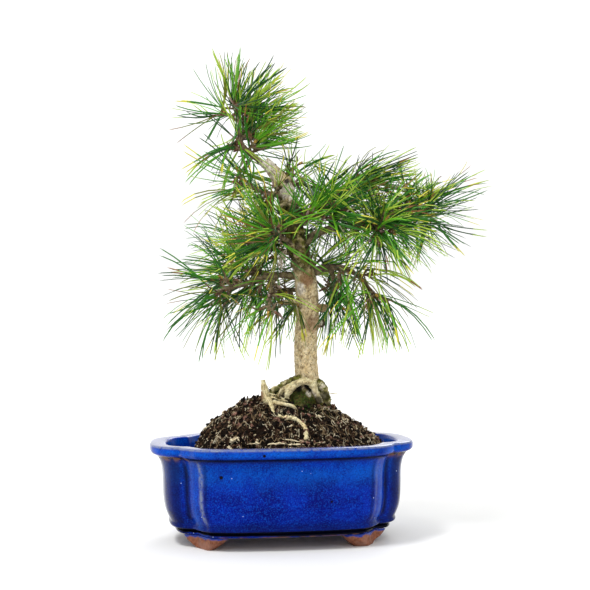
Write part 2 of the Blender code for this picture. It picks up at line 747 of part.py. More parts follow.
def stand_on_origin():
    """Parents every solid to an empty that puts the middle of the whole box over the origin."""
    solids = [item for item in bpy.data.objects if item.type == "MESH"]
    corners = [item.matrix_world @ vertex.co for item in solids for vertex in item.data.vertices]
    middle_x = (min(corner.x for corner in corners) + max(corner.x for corner in corners)) / 2
    middle_y = (min(corner.y for corner in corners) + max(corner.y for corner in corners)) / 2
    plant = bpy.data.objects.new("plant", None)
    bpy.context.scene.collection.objects.link(plant)
    plant.location = (-middle_x, -middle_y, 0.0)
    for item in solids:
        item.parent = plant


def main():
    clear_scene()
    glaze = make_material("cobalt_glaze", (0.012, 0.035, 0.36), 0.18)
    clay = make_material("bare_clay", (0.35, 0.16, 0.09), 0.85)
    earth = make_material("dark_soil", (0.05, 0.035, 0.025), 0.95)
    bark = make_material("pine_bark", (0.30, 0.23, 0.15), 0.9)
    root_bark = make_material("root_bark", (0.40, 0.31, 0.19), 0.9)
    green = make_material("pine_needles", (0.06, 0.19, 0.03), 0.5)
    limbs = {limb.name: limb for limb in BOUGHS + ROOTS}
    make_pot(glaze)
    make_feet(clay)
    make_soil(earth)
    make_trunk(bark)
    make_boughs(limbs, bark)
    make_roots(limbs, root_bark)
    make_foliage(limbs, green, bark)
    stand_on_origin()


main()
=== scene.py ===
"""Looks of the pine bonsai: glazed pot, loose soil, mossy root crown, flaking bark and sprays of needles.

Sizes and places are in millimetres, turned into metres by MM. Places are measured from the middle
of the pot, on the level its feet stand on: X to the right along the pot, Y away from the viewer,
Z up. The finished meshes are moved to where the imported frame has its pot.
"""

import json
import math
import random
from collections import namedtuple

import bpy
from mathutils import Matrix, Vector, noise

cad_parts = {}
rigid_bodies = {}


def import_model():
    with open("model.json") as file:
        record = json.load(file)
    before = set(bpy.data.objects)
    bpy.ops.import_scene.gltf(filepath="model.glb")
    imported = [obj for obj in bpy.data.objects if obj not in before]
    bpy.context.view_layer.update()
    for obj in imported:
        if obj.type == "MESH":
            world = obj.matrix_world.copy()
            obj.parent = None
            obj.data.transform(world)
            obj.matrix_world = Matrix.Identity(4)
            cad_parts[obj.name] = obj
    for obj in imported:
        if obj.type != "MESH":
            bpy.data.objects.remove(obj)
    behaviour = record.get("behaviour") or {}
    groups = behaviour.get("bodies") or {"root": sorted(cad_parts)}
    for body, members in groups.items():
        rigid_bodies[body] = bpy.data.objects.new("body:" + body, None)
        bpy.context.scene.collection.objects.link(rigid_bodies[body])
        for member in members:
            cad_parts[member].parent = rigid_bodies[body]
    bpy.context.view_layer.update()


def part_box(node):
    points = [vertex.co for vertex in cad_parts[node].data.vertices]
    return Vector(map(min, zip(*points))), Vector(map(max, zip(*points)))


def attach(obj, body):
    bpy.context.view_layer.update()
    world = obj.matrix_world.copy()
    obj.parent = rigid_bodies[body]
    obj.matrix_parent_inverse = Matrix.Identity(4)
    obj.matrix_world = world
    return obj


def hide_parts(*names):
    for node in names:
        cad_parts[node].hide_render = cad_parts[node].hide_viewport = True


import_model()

MM = 0.001
GAP = 0.3
GOLDEN_ANGLE = math.radians(137.5)
GOLDEN_SHARE = 0.618
NOISE_SEED = 7

# Pot
RIM_LENGTH = 203
RIM_DEPTH = 160
RIM_HEIGHT = 75.5
LIP_OVERHANG = 9.5
WALL = 6
WALL_THICKENING = 3
FOOT_HEIGHT = 9.4
FLOOR_THICKNESS = 7.3
PLAN_STEPS = 12
SECTION_STEPS = 3
CREASE_INDEX = 5

# The pot's plan from the middle of its front to the middle of its side, past the corner's ridge and
# crease, in shares of the body's half length and half depth
PLAN_QUARTER = (
    (0, 1), (0.35, 0.98), (0.55, 0.94), (0.67, 0.875), (0.745, 0.76), (0.80, 0.62),
    (0.87, 0.575), (0.935, 0.49), (0.978, 0.345), (0.995, 0.17), (1, 0),
)

# The pot's section, as outset from the body's face and height, from the foot ring over the rim and in
POT_SECTION = (
    (-13.5, 9.7), (-10.8, 9.7), (-9.8, 10.0), (-9.2, 10.8), (-9.4, 11.8), (-10.2, 12.6), (-10.3, 13.2),
    (-8.8, 13.8), (-6.4, 14.1), (-5.1, 14.8), (-4.6, 15.9), (-4.8, 17.0), (-5.1, 18.0), (-4.6, 19.4),
    (-3.3, 22.2), (-1.9, 26.2), (-1.0, 30.8), (-0.4, 36.5), (-0.1, 44.0), (0.1, 52.0), (0.7, 57.5),
    (1.7, 61.5), (3.0, 64.5), (4.6, 66.7), (6.4, 68.0), (8.1, 68.7), (9.1, 69.6), (9.6, 71.0),
    (9.6, 73.5), (9.2, 74.7), (8.2, 75.5), (5.0, 75.7), (0.0, 75.6), (-1.9, 75.2), (-2.9, 74.3),
    (-3.6, 72.4), (-4.9, 67.5), (-6.3, 60.0), (-8.0, 35.0), (-9.0, 17.0),
)

# Pinholes in the glaze, as place and radius
PINHOLES = (
    ((-49.9, -66.4, 55), 1.7), ((29.8, -69.2, 36), 1.2), ((-72.5, -47, 24.4), 1.6), ((-19.8, -79.6, 71), 1.4),
    ((-39.2, -78.5, 69), 1.3), ((40, 69, 48), 1.4), ((-22, 70, 30), 1.2),
)

# Feet, as the middle and half sizes of their rings and the share of the foot's height
FOOT_SECTIONS = {
    "left": ((62, 43, 8, 6.5, 0), (61.5, 42.5, 13, 10.5, 0.4), (61, 42, 16, 13.5, 0.7),
             (61, 42, 18.5, 15.5, 1)),
    "right": ((57, 44, 8.5, 6.5, 0), (58, 43.5, 14.5, 11, 0.4), (59, 42.5, 18, 14, 0.7),
              (59.5, 42.5, 20, 15.5, 1)),
}

FOOT_HEART = (52, 33)
FOOT_SQUARENESS = 3
FOOT_SIDES = 56
FOOT_STEPS = 5
HALVINGS = 10

# Soil: its shapes go left, front and right, its spreads left and right, and a heap is its middle,
# its spreads and its height
SOIL_EDGE = 62
SOIL_TOP = 102
SOIL_DOME = 46
SOIL_SHAPES = (0.65, 1.2, 1.05)
SOIL_SPREADS = (66, 92)
SOIL_SPREAD_DEPTH = 66
SOIL_MIDDLE = -2
HEAPS = ((-17, -3, 16, 11, 6.5), (-4, 8, 8, 7, 12.5), (-60, -8, 12, 26, 3.5))
HEAP_CLEARANCE = 14
SEAT_PLACE = (14, -2.0)
SEAT_RADIUS = 21
SEAT_SLOPE = 0.85
SEAT_EDGE = 8
SOIL_RINGS = 70
CRUMB_HEIGHT = 2.7
CRUMB_SIZE = 4.6
CHIP_COUNT = 4200
LARGE_CHIP_COUNT = 420
ROOTLET_COUNT = 2600
ROOTLET_STEPS = 6
STRIP_STEPS = 10
STRIP_SIDES = 6
CHIP_SEED = 41
ROOTLET_SEED = 42

# Trunk, as stations of place across, place in depth, height and radius
TRUNK_STATIONS = (
    (15.5, -1, 102.3, 18.2),
    (16.0, -1, 107.5, 17.6),
    (17.8, -1, 113, 15.2),
    (19.9, 0, 118, 11.6),
    (20.9, 0, 124, 9.2),
    (20.4, 0, 138, 8.8),
    (20.6, 1, 155, 8.6),
    (22.3, 1, 172, 8.6),
    (21.8, 0, 190, 8.5),
    (19.6, -1, 206, 8.4),
    (15.4, -1, 224, 8.4),
    (11.0, 0, 242, 8.0),
    (8.0, 0, 260, 7.0),
    (5.0, 0, 274, 5.8),
    (-3.6, -1, 285, 4.8),
    (-11.0, -2, 293.5, 3.9),
)
TRUNK_SIDES = 96
TRUNK_STEPS = 16
FLARE_LOBES = 5
FLARE_DEPTH = 0.16
FLARE_HEIGHT = 18
SCAR_STUB = ((22.3, -1, 166.5), (32.6, -9.5, 165.8), (4.0, 3.3))
SCAR_STUB_SIDES = 28
PLATE_SIZE = 2.4
PLATE_HEIGHT = 0.8
SHADED = 0.75
BARK_FOLDS = (209, 216, 228, 235, 244, 253)
MOSSY_ROOTS = ("root_left", "root_right", "root_back")

# Foliage
NEEDLE_LENGTH = 51
NEEDLE_WIDTH = 1.12
NEEDLE_THICKNESS = 0.65
NEEDLE_STATIONS = (0, 0.24, 0.48, 0.72, 0.92, 1)
SHEATH_LENGTH = 4.5
SHEATH_RADIUS = 0.75
SHEATH_HOLD = 1.5
PAIR_SPREAD = math.radians(5)
STEM_ZONE = 15
TWIG_ZONE = 9
TWIG_RADIUS = 1.3
TUFT_RADIUS = 1.7
SIDE_TWIG_RADII = (1.05, 0.8)
FORK_RADII = (0.75, 0.6)
STEM_WEIGHT = 2.0
SIDE_TWIG_WEIGHT = 1.3
FORK_WEIGHT = 0.7
ZONE_SHARE = 0.75
TWIG_SPREAD = math.radians(55)
LIMB_MARGIN = 1.6
BOUGH_SLIMNESS = 0.66
FORK_PLACES = (0.4, 0.72)
SIDE_SHOOTS = (0.42, 0.56, 0.7, 0.82, 0.94)
SIDE_LENGTH = 8
FORK_LENGTH = 0.75
SPRAY_FACTOR = 4.1
REACH_MARGIN = 5.0
CEILING_MARGIN = 10
OWN_COLOUR_SHARE = 0.6
STRAW_SHARE = 0.012
NEEDLE_SEED = 300
FORK_SEED = 200
BUD_SEED = 51
SCALE_FACES = ((0, 1, 3), (1, 2, 3), (2, 0, 3), (0, 2, 1))
BUD_SCALES = 14
BUD_PROFILE = ((0.0, 0.8), (0.25, 1.15), (0.55, 1.0), (0.8, 0.55), (1.0, 0.08))
CONE_SCALES = 60
CONE_PROFILE = ((-5.8, 1.0), (-4.0, 2.6), (-1.0, 3.4), (2.5, 2.7), (5.2, 0.7))

Limb = namedtuple("Limb", "name parent points radii")
# Deep is a dark green that stands partly for the needles' own darker tone and partly for painted shade, dealt
# to whole sprays.
NEEDLE_COLOURS = {
    "deep": (0.009, 0.060, 0.007),
    "green": (0.028, 0.165, 0.009),
    "bright": (0.105, 0.340, 0.012),
    "lime": (0.360, 0.520, 0.050),
    "olive": (0.165, 0.190, 0.020),
    "yellow": (0.600, 0.560, 0.050),
    "straw": (0.260, 0.120, 0.035),
    "sheath": (0.150, 0.080, 0.040),
}
NEEDLE_FINISHES = tuple(NEEDLE_COLOURS)
# Of a hundred sprays, how many have each colour, and of a hundred pairs, how their tips are coloured
SPRAY_KINDS = {"deep": 24, "green": 28, "bright": 25, "lime": 13, "olive": 10}
NEEDLE_TIPS = {"own": 60, "lime": 23, "yellow": 13, "straw": 4}

# A mass of needles: fullness and stretch make it denser and its needles longer than most, combed is the
# way that its needles lean, and its ceiling is how high they may reach before they spread flatter
Mass = namedtuple("Mass", "name parent tip twigs twig_length pairs lift seed fullness combed ceiling stretch",
                  defaults=(1.0, (0, 0, 0), None, 1.0))
Shoot = namedtuple("Shoot", "start end radius zone weight")

BOUGHS = (
    Limb("bough_leader", "trunk", ((-2, 0, 283), (-15, -2, 294), (-28, -4, 305), (-31, -4, 317)), (3.7, 2.5)),
    Limb("bough_upper_left", "trunk", ((8, 0, 263), (-2, -6, 266), (-13, -9, 269)), (3.3, 2.4)),
    Limb("bough_upper_back", "trunk", ((7, 0, 266), (10, 12, 272), (11, 20, 279)), (3.0, 2.2)),
    Limb("bough_right_high", "trunk", ((9, 0, 250), (28, 4, 256), (46, 8, 264), (58, 8, 271)), (4.0, 2.4)),
    Limb("bough_right_inner", "trunk", ((11, 0, 240), (20, -14, 246), (32, -20, 250)), (3.2, 2.2)),
    Limb("bough_right_main", "trunk", ((15, 0, 226), (34, -6, 238), (54, -10, 242), (72, -9, 242)),
         (4.6, 3.2)),
    Limb("bough_right_tip", "bough_right_main", ((72, -9, 242), (90, -7, 245), (108, -5, 251)), (3.1, 2.3)),
    Limb("bough_right_front", "bough_right_main", ((56, -10, 242), (63, -24, 239), (68, -36, 236)),
         (2.7, 2.1)),
    Limb("bough_right_far", "bough_right_main", ((66, -9, 242), (78, 8, 248), (90, 20, 254)), (2.7, 2.1)),
    Limb("bough_right_low", "trunk", ((20, 0, 204), (42, -5, 210), (56, -9, 206), (64, -11, 200)),
         (3.8, 2.4)),
    Limb("bough_right_low_inner", "bough_right_low", ((40, -5, 209), (44, 4, 200), (45, 8, 191)), (2.4, 2.0)),
    Limb("bough_right_back", "trunk", ((20, 0, 200), (26, 16, 204), (32, 32, 206)), (3.2, 2.3)),
    Limb("bough_back_centre", "trunk", ((13, 0, 232), (12, 20, 239), (12, 36, 244)), (3.2, 2.3)),
    Limb("bough_back_high_right", "bough_right_high", ((34, 5, 258), (42, 20, 260), (48, 32, 262)),
         (2.5, 2.1)),
    Limb("bough_left_mid", "trunk", ((15, 0, 226), (4, -12, 231), (-1, -18, 233)), (2.7, 2.1)),
    Limb("bough_left_low", "trunk", ((20, 0, 202), (0, -3, 204), (-18, -6, 200), (-30, -8, 196)), (3.8, 2.5)),
    Limb("bough_left_low_far", "bough_left_low", ((-6, -4, 203), (-14, 8, 206), (-20, 16, 208)), (2.4, 2.0)),
    Limb("bough_left_low_inner", "bough_left_low", ((-2, -4, 204), (-7, -16, 196), (-9, -21, 188)),
         (2.4, 2.0)),
    Limb("bough_left_back", "trunk", ((15, 0, 220), (0, 16, 225), (-14, 32, 229)), (3.2, 2.3)),
    Limb("bough_back_low", "trunk", ((21, 0, 190), (14, 18, 193), (8, 34, 194)), (3.0, 2.2)),
)

MASSES = (
    Mass("needles_apex", "bough_leader", (-30, -3, 333), 4, 15, 26, 0.1, 11, 1.9, (0.5, -0.1, 0.1)),
    Mass("needles_leader", "bough_leader", (-33, -11, 301), 2, 9, 14, 0.0, 31, 0.3, (-0.1, -0.1, -0.5)),
    Mass("needles_upper_left", "bough_upper_left", (-33, -10, 275), 3, 12, 20, 0.0, 12, 0.6,
         (-0.1, -0.1, -0.1)),
    Mass("needles_upper_back", "bough_upper_back", (10, 26, 291), 3, 12, 18, 0.1, 13, 0.6, ceiling=322),
    Mass("needles_right_high", "bough_right_high", (69, 8, 281), 3, 13, 20, 0.25, 14, 1.15,
         (0.35, 0.0, 0.05), 299),
    Mass("needles_right_inner", "bough_right_inner", (44, -24, 256), 3, 11, 18, 0.1, 15, 1.3,
         (0.35, -0.1, 0.05), 295),
    Mass("needles_right_tip", "bough_right_tip", (119, -3, 256), 4, 13, 22, 0.05, 16, 1.2,
         (0.2, 0.0, 0.15), 289),
    Mass("needles_right_front", "bough_right_front", (72, -49, 234), 3, 11, 22, 0.0, 17, 1.3,
         (0.1, -0.1, -0.2)),
    Mass("needles_right_far", "bough_right_far", (100, 28, 258), 3, 12, 18, 0.1, 18, 1.1, ceiling=288),
    Mass("needles_right_low", "bough_right_low", (75, -18, 184), 3, 13, 22, -0.3, 19, 0.6,
         (0.05, 0.0, -0.35), stretch=1.18),
    Mass("needles_right_low_inner", "bough_right_low_inner", (43, 12, 177), 2, 10, 14, -0.3, 20, 0.34,
         (0.1, 0.0, -0.4)),
    Mass("needles_right_back", "bough_right_back", (40, 48, 208), 3, 12, 20, -0.05, 21, 0.78),
    Mass("needles_back_centre", "bough_back_centre", (12, 52, 250), 3, 12, 20, 0.1, 22, ceiling=296),
    Mass("needles_back_high_right", "bough_back_high_right", (54, 44, 266), 3, 12, 18, 0.15, 23,
         ceiling=303),
    Mass("needles_left_mid", "bough_left_mid", (-9, -27, 236), 3, 11, 18, 0.0, 24, 0.9, (-0.45, -0.1, 0.1)),
    Mass("needles_left_low", "bough_left_low", (-46, -10, 192), 4, 14, 24, -0.1, 25, 0.92,
         (-0.1, -0.1, -0.05), stretch=1.12),
    Mass("needles_left_low_far", "bough_left_low_far", (-30, 24, 209), 3, 12, 18, 0.0, 26, 0.9,
         (-0.1, 0.0, 0.05)),
    Mass("needles_left_low_inner", "bough_left_low_inner", (-11, -26, 175), 3, 11, 18, -0.35, 27, 0.22,
         (-0.35, 0.0, -0.3), stretch=1.12),
    Mass("needles_left_back", "bough_left_back", (-26, 46, 234), 3, 12, 20, 0.05, 28),
    Mass("needles_back_low", "bough_back_low", (4, 50, 192), 3, 12, 18, -0.2, 29, 0.55, (-0.1, 0.3, 0.15)),
    Mass("needles_trunk_tuft", "trunk", (1, -11, 182), 1, 6, 8, -0.1, 30, 0.35, (-0.1, -0.2, -0.2)),
)

ROOTS = (
    Limb("root_arch", "trunk", ((1, -10, 106), (4, -17, 112), (8.5, -19, 118.5), (16, -19, 121.5),
                                (22.5, -17.5, 119), (26, -15.5, 113), (29, -15, 104)), (2.6, 2.4)),
    Limb("root_left_stub", "trunk", ((-9, -9, 98), (-12.5, -12, 109), (-14.5, -12, 122.5)),
         (5.8, 4.4, 3.4, 2.7, 1.1)),
    Limb("root_left", "trunk", ((19, -4, 123), (11, -10, 122), (4, -11, 120), (-2, -11, 116.5),
                                (-7, -10, 113.5), (-12, -5, 100)), (2.9, 1.7)),
    Limb("root_right", "trunk", ((24, -3, 119), (31, -5, 116), (34, -6, 108), (33, -6, 94)), (4.2, 4.4)),
    Limb("root_back", "trunk", ((19, 2, 112), (22, 16, 108), (21, 28, 99), (18, 38, 86)), (6.0, 3.0)),
    Limb("root_runner", "root_left_stub",
         ((-13, -12, 110), (-10, -17, 106), (-8.5, -23, 102), (-8.5, -29, 98.5), (-4, -33.5, 95.5),
          (1, -35, 95), (6.5, -36, 94), (11.5, -39, 91), (14.5, -44, 86), (13.5, -50, 79)),
         (2.5, 1.5, 1.1, 1.5, 1.0, 1.4)),
)

# Finer roots round the crown, as path and radii
FINE_ROOTS = (
    (((-7, -19, 105.5), (-3, -23, 105), (2, -24, 104), (7, -23.5, 102.5), (10, -22, 99)), (1.7, 1.1)),
    (((8, -12, 119), (3, -15, 116.5), (-1, -15.5, 114.3), (-3, -14, 110)), (1.7, 1.2)),
    (((-12, -13, 113), (-6, -15, 111), (0, -17, 111.5), (5, -18, 108)), (0.55, 0.4)),
    (((-10, -14, 108), (-4, -17, 109.5), (2, -18, 107)), (0.5, 0.35)),
    (((-3, -16, 106), (2, -18, 109), (6, -18, 113)), (0.5, 0.35)),
    (((36, -6, 112), (39, -8, 111), (44, -8, 110.5)), (0.45, 0.25)),
    (((24, -15, 116), (25, -17, 119.5), (25.5, -16, 122.5)), (1.1, 0.8)),
    (((4, -16, 117), (0, -16, 112), (-1, -15, 106)), (0.6, 0.4)),
    (((-9, -14, 110), (-3, -18, 107.5), (4, -19, 106)), (0.45, 0.3)),
    (((-4, -15, 112), (0, -18, 108), (3, -19, 102)), (0.4, 0.3)),
)

# Cut and broken stubs on the trunk, as path and radii
TRUNK_STUBS = (
    (((23, -2, 176), (31, -5, 177.5), (38.5, -5.5, 178.5)), (4.4, 2.6, 3.3, 1.2)),
    (((14, -6, 182), (7, -9, 182.5), (2, -11, 182)), (2.6, 1.6)),
    (((13, -5, 257), (4, -9, 259), (-2, -11, 256)), (1.4, 0.7)),
    (((9, -5, 280), (3, -9, 274), (-6, -10, 266)), (1.5, 1.0)),
)
DRIED_TWIG = (((50, -14, 240), (46.5, -29, 236), (43.6, -31, 240), (44.5, -31, 244.5), (51.5, -30, 252.4),
               (56, -29, 253.5)), (0.8, 0.5))
DEAD_NEEDLES = 18
DEAD_NEEDLE_SEED = 71
DEAD_NEEDLE_PLACE = (3.5, -9.5, 222)
CONE_PLACE = (53, 9, 185.5)
CONE_STEM = ((45, 8, 191), (49, 9, 188.5), (53, 9, 185.5))

# Moss on the soil, as place across, place in depth, spread, count and how vivid
MOSS_PATCHES = ((21, -25, 4.5, 700, 1.0), (-27, -3, 5.0, 260, 0.0), (30, -18, 3.0, 140, 0.0))
MOSS_COUNT = 3800
MOSS_SEED = 61

# Strips of bark on the soil, as both ends and half width, and lumps, as place and size
LOOSE_BARK = (
    ((-15, -52.5), (-2, -53.5), 2.0), ((-4, -50.5), (9, -52), 1.5), ((0, -54), (13, -53.5), 1.8),
    ((9, -51), (20, -52.5), 1.2), ((22, -50), (30, -52), 1.0), ((-30, -48), (-22, -50), 0.9),
)
LOOSE_LUMPS = ((-39.5, -41.5, 3.9), (-66, -16, 2.6), (-42, -44, 2.6), (-36, -40, 2.2))

# Camera and room
CAMERA_PLACE = (-89.7, -895.6, 158)
CAMERA_AZIMUTH = math.radians(6.5)
CAMERA_TILT = math.radians(1.92)
CAMERA_ROLL = math.radians(0.6)
FLOOR_FLAT = 0.8
FLOOR_RADIUS = 3.3
FLOOR_SWEEP = 0.3
FLOOR_STEPS = 24
FLOOR_GLOW = 0.28
FLOOR_SIDES = 96
LENS = 70
SENSOR = 36

# Lights, as place and target in metres, size in metres and power in watts
KEY_LIGHT = ((-0.6, -0.6, 1.5), (0, 0, 0.2), 0.4, 15)
BACK_LIGHT = ((0.5, 1.2, 0.9), (0, 0, 0.1), 0.9, 8)

# Plain materials with two shades of one colour, as name, dark, light and the size of their grain
SOIL_CRUMBS = (
    ("dark_crumbs", (0.001, 0.0008, 0.0007), (0.014, 0.009, 0.006), 1.5),
    ("brown_crumbs", (0.014, 0.008, 0.005), (0.085, 0.045, 0.025), 1.5),
    ("red_crumbs", (0.09, 0.042, 0.028), (0.29, 0.155, 0.115), 1.5),
    ("pale_crumbs", (0.36, 0.28, 0.16), (0.82, 0.72, 0.50), 1.5),
)
ROOTLETS = (
    ("tan_rootlets", (0.12, 0.075, 0.038), (0.38, 0.28, 0.16), 1.5),
    ("pale_rootlets", (0.40, 0.33, 0.21), (0.80, 0.72, 0.52), 1.5),
    ("brown_rootlets", (0.012, 0.008, 0.005), (0.09, 0.05, 0.025), 1.5),
)
MOSSES = (
    ("dark_moss", (0.004, 0.014, 0.003), (0.012, 0.045, 0.008), 1.0),
    ("green_moss", (0.018, 0.060, 0.008), (0.060, 0.130, 0.018), 1.0),
    ("olive_moss", (0.110, 0.115, 0.020), (0.300, 0.290, 0.060), 1.0),
)
BUDS = (
    ("brown_buds", (0.10, 0.045, 0.025), (0.28, 0.15, 0.10), 1.0),
    ("pink_buds", (0.24, 0.13, 0.11), (0.52, 0.38, 0.34), 1.0),
    ("ochre_buds", (0.30, 0.16, 0.03), (0.60, 0.40, 0.10), 1.0),
)
CONE_WOOD = ("cone_scales", (0.035, 0.018, 0.010), (0.20, 0.11, 0.055), 1.2)
DRIED_WOOD = ("dried_wood", (0.38, 0.30, 0.20), (0.66, 0.58, 0.44), 1.2)

# Bark, as name, the two shades, the colour of its flecks and a warmer shade in wider patches
PINE_BARK = ("pine_bark", (0.60, 0.45, 0.23), (0.99, 0.86, 0.58), (0.12, 0.06, 0.02), (0.84, 0.64, 0.34))
# The boughs' and twigs' bark is darker and more olive than the trunk's: partly its own colour, partly painted
# shade from the needles round it.
SHADED_BOUGH_BARK = ("bough_bark", (0.12, 0.08, 0.045), (0.34, 0.26, 0.16), (0.02, 0.012, 0.008), (0.22, 0.20, 0.09))
ROOT_BARK = ("root_bark", (0.56, 0.47, 0.23), (0.98, 0.92, 0.60), (0.14, 0.09, 0.035), (0.84, 0.64, 0.34))


def pot_middle():
    low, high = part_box("pot")
    return Vector(((low.x + high.x) / 2, (low.y + high.y) / 2, 0.0))


POT_MIDDLE = pot_middle()


# Making meshes

class Shapes:
    """Many small shapes gathered into one mesh, each face with its finish's number."""

    def __init__(self):
        self.points = []
        self.faces = []
        self.finishes = []

    def add(self, points, faces, finish=0):
        first = len(self.points)
        self.points += points
        self.faces += [[first + corner for corner in face] for face in faces]
        self.finishes += [finish] * len(faces)

    def add_rings(self, rings, finish=0, capped=True):
        """A tube through rings of the same number of points, each end closed by a fan."""
        sides = len(rings[0])
        points = [point for ring in rings for point in ring]
        faces = []
        for row in range(len(rings) - 1):
            for side in range(sides):
                following = (side + 1) % sides
                faces.append((row * sides + side, row * sides + following,
                              (row + 1) * sides + following, (row + 1) * sides + side))
        if capped:
            last = (len(rings) - 1) * sides
            points.append(sum(rings[0], Vector()) / sides)
            points.append(sum(rings[-1], Vector()) / sides)
            for side in range(sides):
                following = (side + 1) % sides
                faces.append((following, side, len(points) - 2))
                faces.append((last + side, last + following, len(points) - 1))
        self.add(points, faces, finish)

    def mesh(self, name, smooth=True):
        mesh = bpy.data.meshes.new(name)
        mesh.from_pydata(self.points, [], self.faces)
        mesh.polygons.foreach_set("material_index", self.finishes)
        mesh.polygons.foreach_set("use_smooth", [smooth] * len(self.faces))
        mesh.update()
        return mesh


def set_marks(mesh, name, values):
    """A number for each point, which a material reads by name."""
    mesh.attributes.new(name, "FLOAT", "POINT").data.foreach_set("value", values)


def make_piece(name, mesh, materials, nodes=()):
    """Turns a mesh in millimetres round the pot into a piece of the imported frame."""
    mesh.transform(Matrix.Translation(POT_MIDDLE) @ Matrix.Scale(MM, 4))
    for material in materials:
        mesh.materials.append(material)
    piece = bpy.data.objects.new(name, mesh)
    bpy.context.scene.collection.objects.link(piece)
    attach(piece, "root")
    if nodes:
        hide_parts(*nodes)
    return piece


def blend(low, high, value):
    """0 below low, 1 above high and a smooth rise between them."""
    share = min(1.0, max(0.0, (value - low) / (high - low)))
    return share * share * (3 - 2 * share)


def smooth_path(points, steps=2):
    """Points on a Catmull-Rom curve through the given points."""
    knots = [Vector(point) for point in points]
    padded = [2 * knots[0] - knots[1]] + knots + [2 * knots[-1] - knots[-2]]
    path = []
    for before, start, end, after in zip(padded, padded[1:], padded[2:], padded[3:]):
        for step in range(steps):
            t = step / steps
            path.append(0.5 * (2 * start + (end - before) * t
                               + (2 * before - 5 * start + 4 * end - after) * t * t
                               + (3 * start - before - 3 * end + after) * t * t * t))
    path.append(knots[-1])
    return path


def path_directions(path):
    last = len(path) - 1
    return [(path[min(i + 1, last)] - path[max(i - 1, 0)]).normalized() for i in range(len(path))]


def taper(radii, count):
    """Radii at count stations, evenly between those given."""
    spans = len(radii) - 1
    values = []
    for number in range(count):
        place = spans * number / (count - 1)
        index = min(int(place), spans - 1)
        values.append(radii[index] + (radii[index + 1] - radii[index]) * (place - index))
    return values


def tube_rings(path, radii, sides, outline=None):
    """Rings square to the path, turned as little as possible from one to the next."""
    directions = path_directions(path)
    across = directions[0].orthogonal().normalized()
    rings = []
    for centre, direction, radius in zip(path, directions, radii):
        across = (across - direction * across.dot(direction)).normalized()
        above = direction.cross(across)
        ring = []
        for side in range(sides):
            angle = math.tau * side / sides
            reach = radius * (outline(centre, angle) if outline else 1.0)
            ring.append(centre + across * math.cos(angle) * reach + above * math.sin(angle) * reach)
        rings.append(ring)
    return rings


def turned(axis, angle_out, angle_round):
    """A direction at angle_out from the axis, turned round it by angle_round."""
    across = axis.cross(Vector((0, 0, 1)))
    if across.length < 0.05:
        across = Vector((1, 0, 0))
    across.normalize()
    above = across.cross(axis)
    side = across * math.cos(angle_round) + above * math.sin(angle_round)
    return axis * math.cos(angle_out) + side * math.sin(angle_out)


def any_direction(rule):
    height = rule.uniform(-1, 1)
    turn = rule.uniform(0, math.tau)
    reach = math.sqrt(1 - height * height)
    return Vector((reach * math.cos(turn), reach * math.sin(turn), height))


# Materials

def new_material(name, roughness=0.5, specular=0.5):
    material = bpy.data.materials.new(name)
    material.use_nodes = True
    shader = material.node_tree.nodes["Principled BSDF"]
    shader.inputs["Roughness"].default_value = roughness
    shader.inputs["Specular IOR Level"].default_value = specular
    return material, material.node_tree, shader


def set_inputs(tree, node, inputs):
    for name, value in inputs.items():
        if isinstance(value, bpy.types.NodeSocket):
            tree.links.new(value, node.inputs[name])
        else:
            node.inputs[name].default_value = value


def add_node(tree, kind, inputs=None, **settings):
    node = tree.nodes.new("ShaderNode" + kind)
    for name, value in settings.items():
        setattr(node, name, value)
    set_inputs(tree, node, inputs or {})
    return node


def place_of(tree):
    return add_node(tree, "TexCoord").outputs["Object"]


def grain(tree, size, detail=3.0, roughness=0.55, place=None):
    """Soft noise whose lumps are about size millimetres across, mostly from 0.3 to 0.7."""
    inputs = {"Vector": place or place_of(tree), "Scale": 1 / (size * MM),
              "Detail": detail, "Roughness": roughness}
    return add_node(tree, "TexNoise", inputs).outputs["Fac"]


def remap(tree, value, low, high, to_low=0.0, to_high=1.0):
    inputs = {"Value": value, "From Min": low, "From Max": high, "To Min": to_low, "To Max": to_high}
    return add_node(tree, "MapRange", inputs).outputs["Result"]


def calculate(tree, operation, first, second):
    return add_node(tree, "Math", {0: first, 1: second}, operation=operation).outputs[0]


def mark(tree, name):
    return add_node(tree, "Attribute", attribute_name=name).outputs["Fac"]


def colour_mix(tree, share, first, second, blend_type="MIX"):
    """The first colour where share is 0 and the second where it is 1."""
    node = add_node(tree, "Mix", data_type="RGBA", blend_type=blend_type)
    for index, value in ((0, share), (6, first), (7, second)):
        if isinstance(value, bpy.types.NodeSocket):
            tree.links.new(value, node.inputs[index])
        elif index:
            node.inputs[index].default_value = (*value, 1.0)
        else:
            node.inputs[index].default_value = value
    return node.outputs[2]


def mottled(tree, noise_inputs, span, first, second):
    """Two colours mixed by noise, which is given by its size, detail and roughness and by how its
    values are spread from one colour to the other."""
    return colour_mix(tree, remap(tree, grain(tree, *noise_inputs), *span), first, second)


def marked(tree, name, noise_inputs, span):
    """A mark broken up by noise."""
    return calculate(tree, "MULTIPLY", mark(tree, name), remap(tree, grain(tree, *noise_inputs), *span))


def add_bump(tree, shader, height, distance, strength=1.0):
    node = add_node(tree, "Bump", {"Height": height, "Distance": distance * MM, "Strength": strength})
    tree.links.new(node.outputs["Normal"], shader.inputs["Normal"])


def spots(tree, spacing, radius, share):
    """1 in small round spots, one at most in each cell of a grid, 0 elsewhere."""
    cells = add_node(tree, "TexVoronoi", {"Vector": place_of(tree), "Scale": 1 / (spacing * MM)})
    inside = remap(tree, cells.outputs["Distance"], radius / spacing * 0.7, radius / spacing, 1.0, 0.0)
    chosen = add_node(tree, "SeparateColor", {"Color": cells.outputs["Color"]}).outputs["Red"]
    return calculate(tree, "MULTIPLY", inside, calculate(tree, "LESS_THAN", chosen, share))


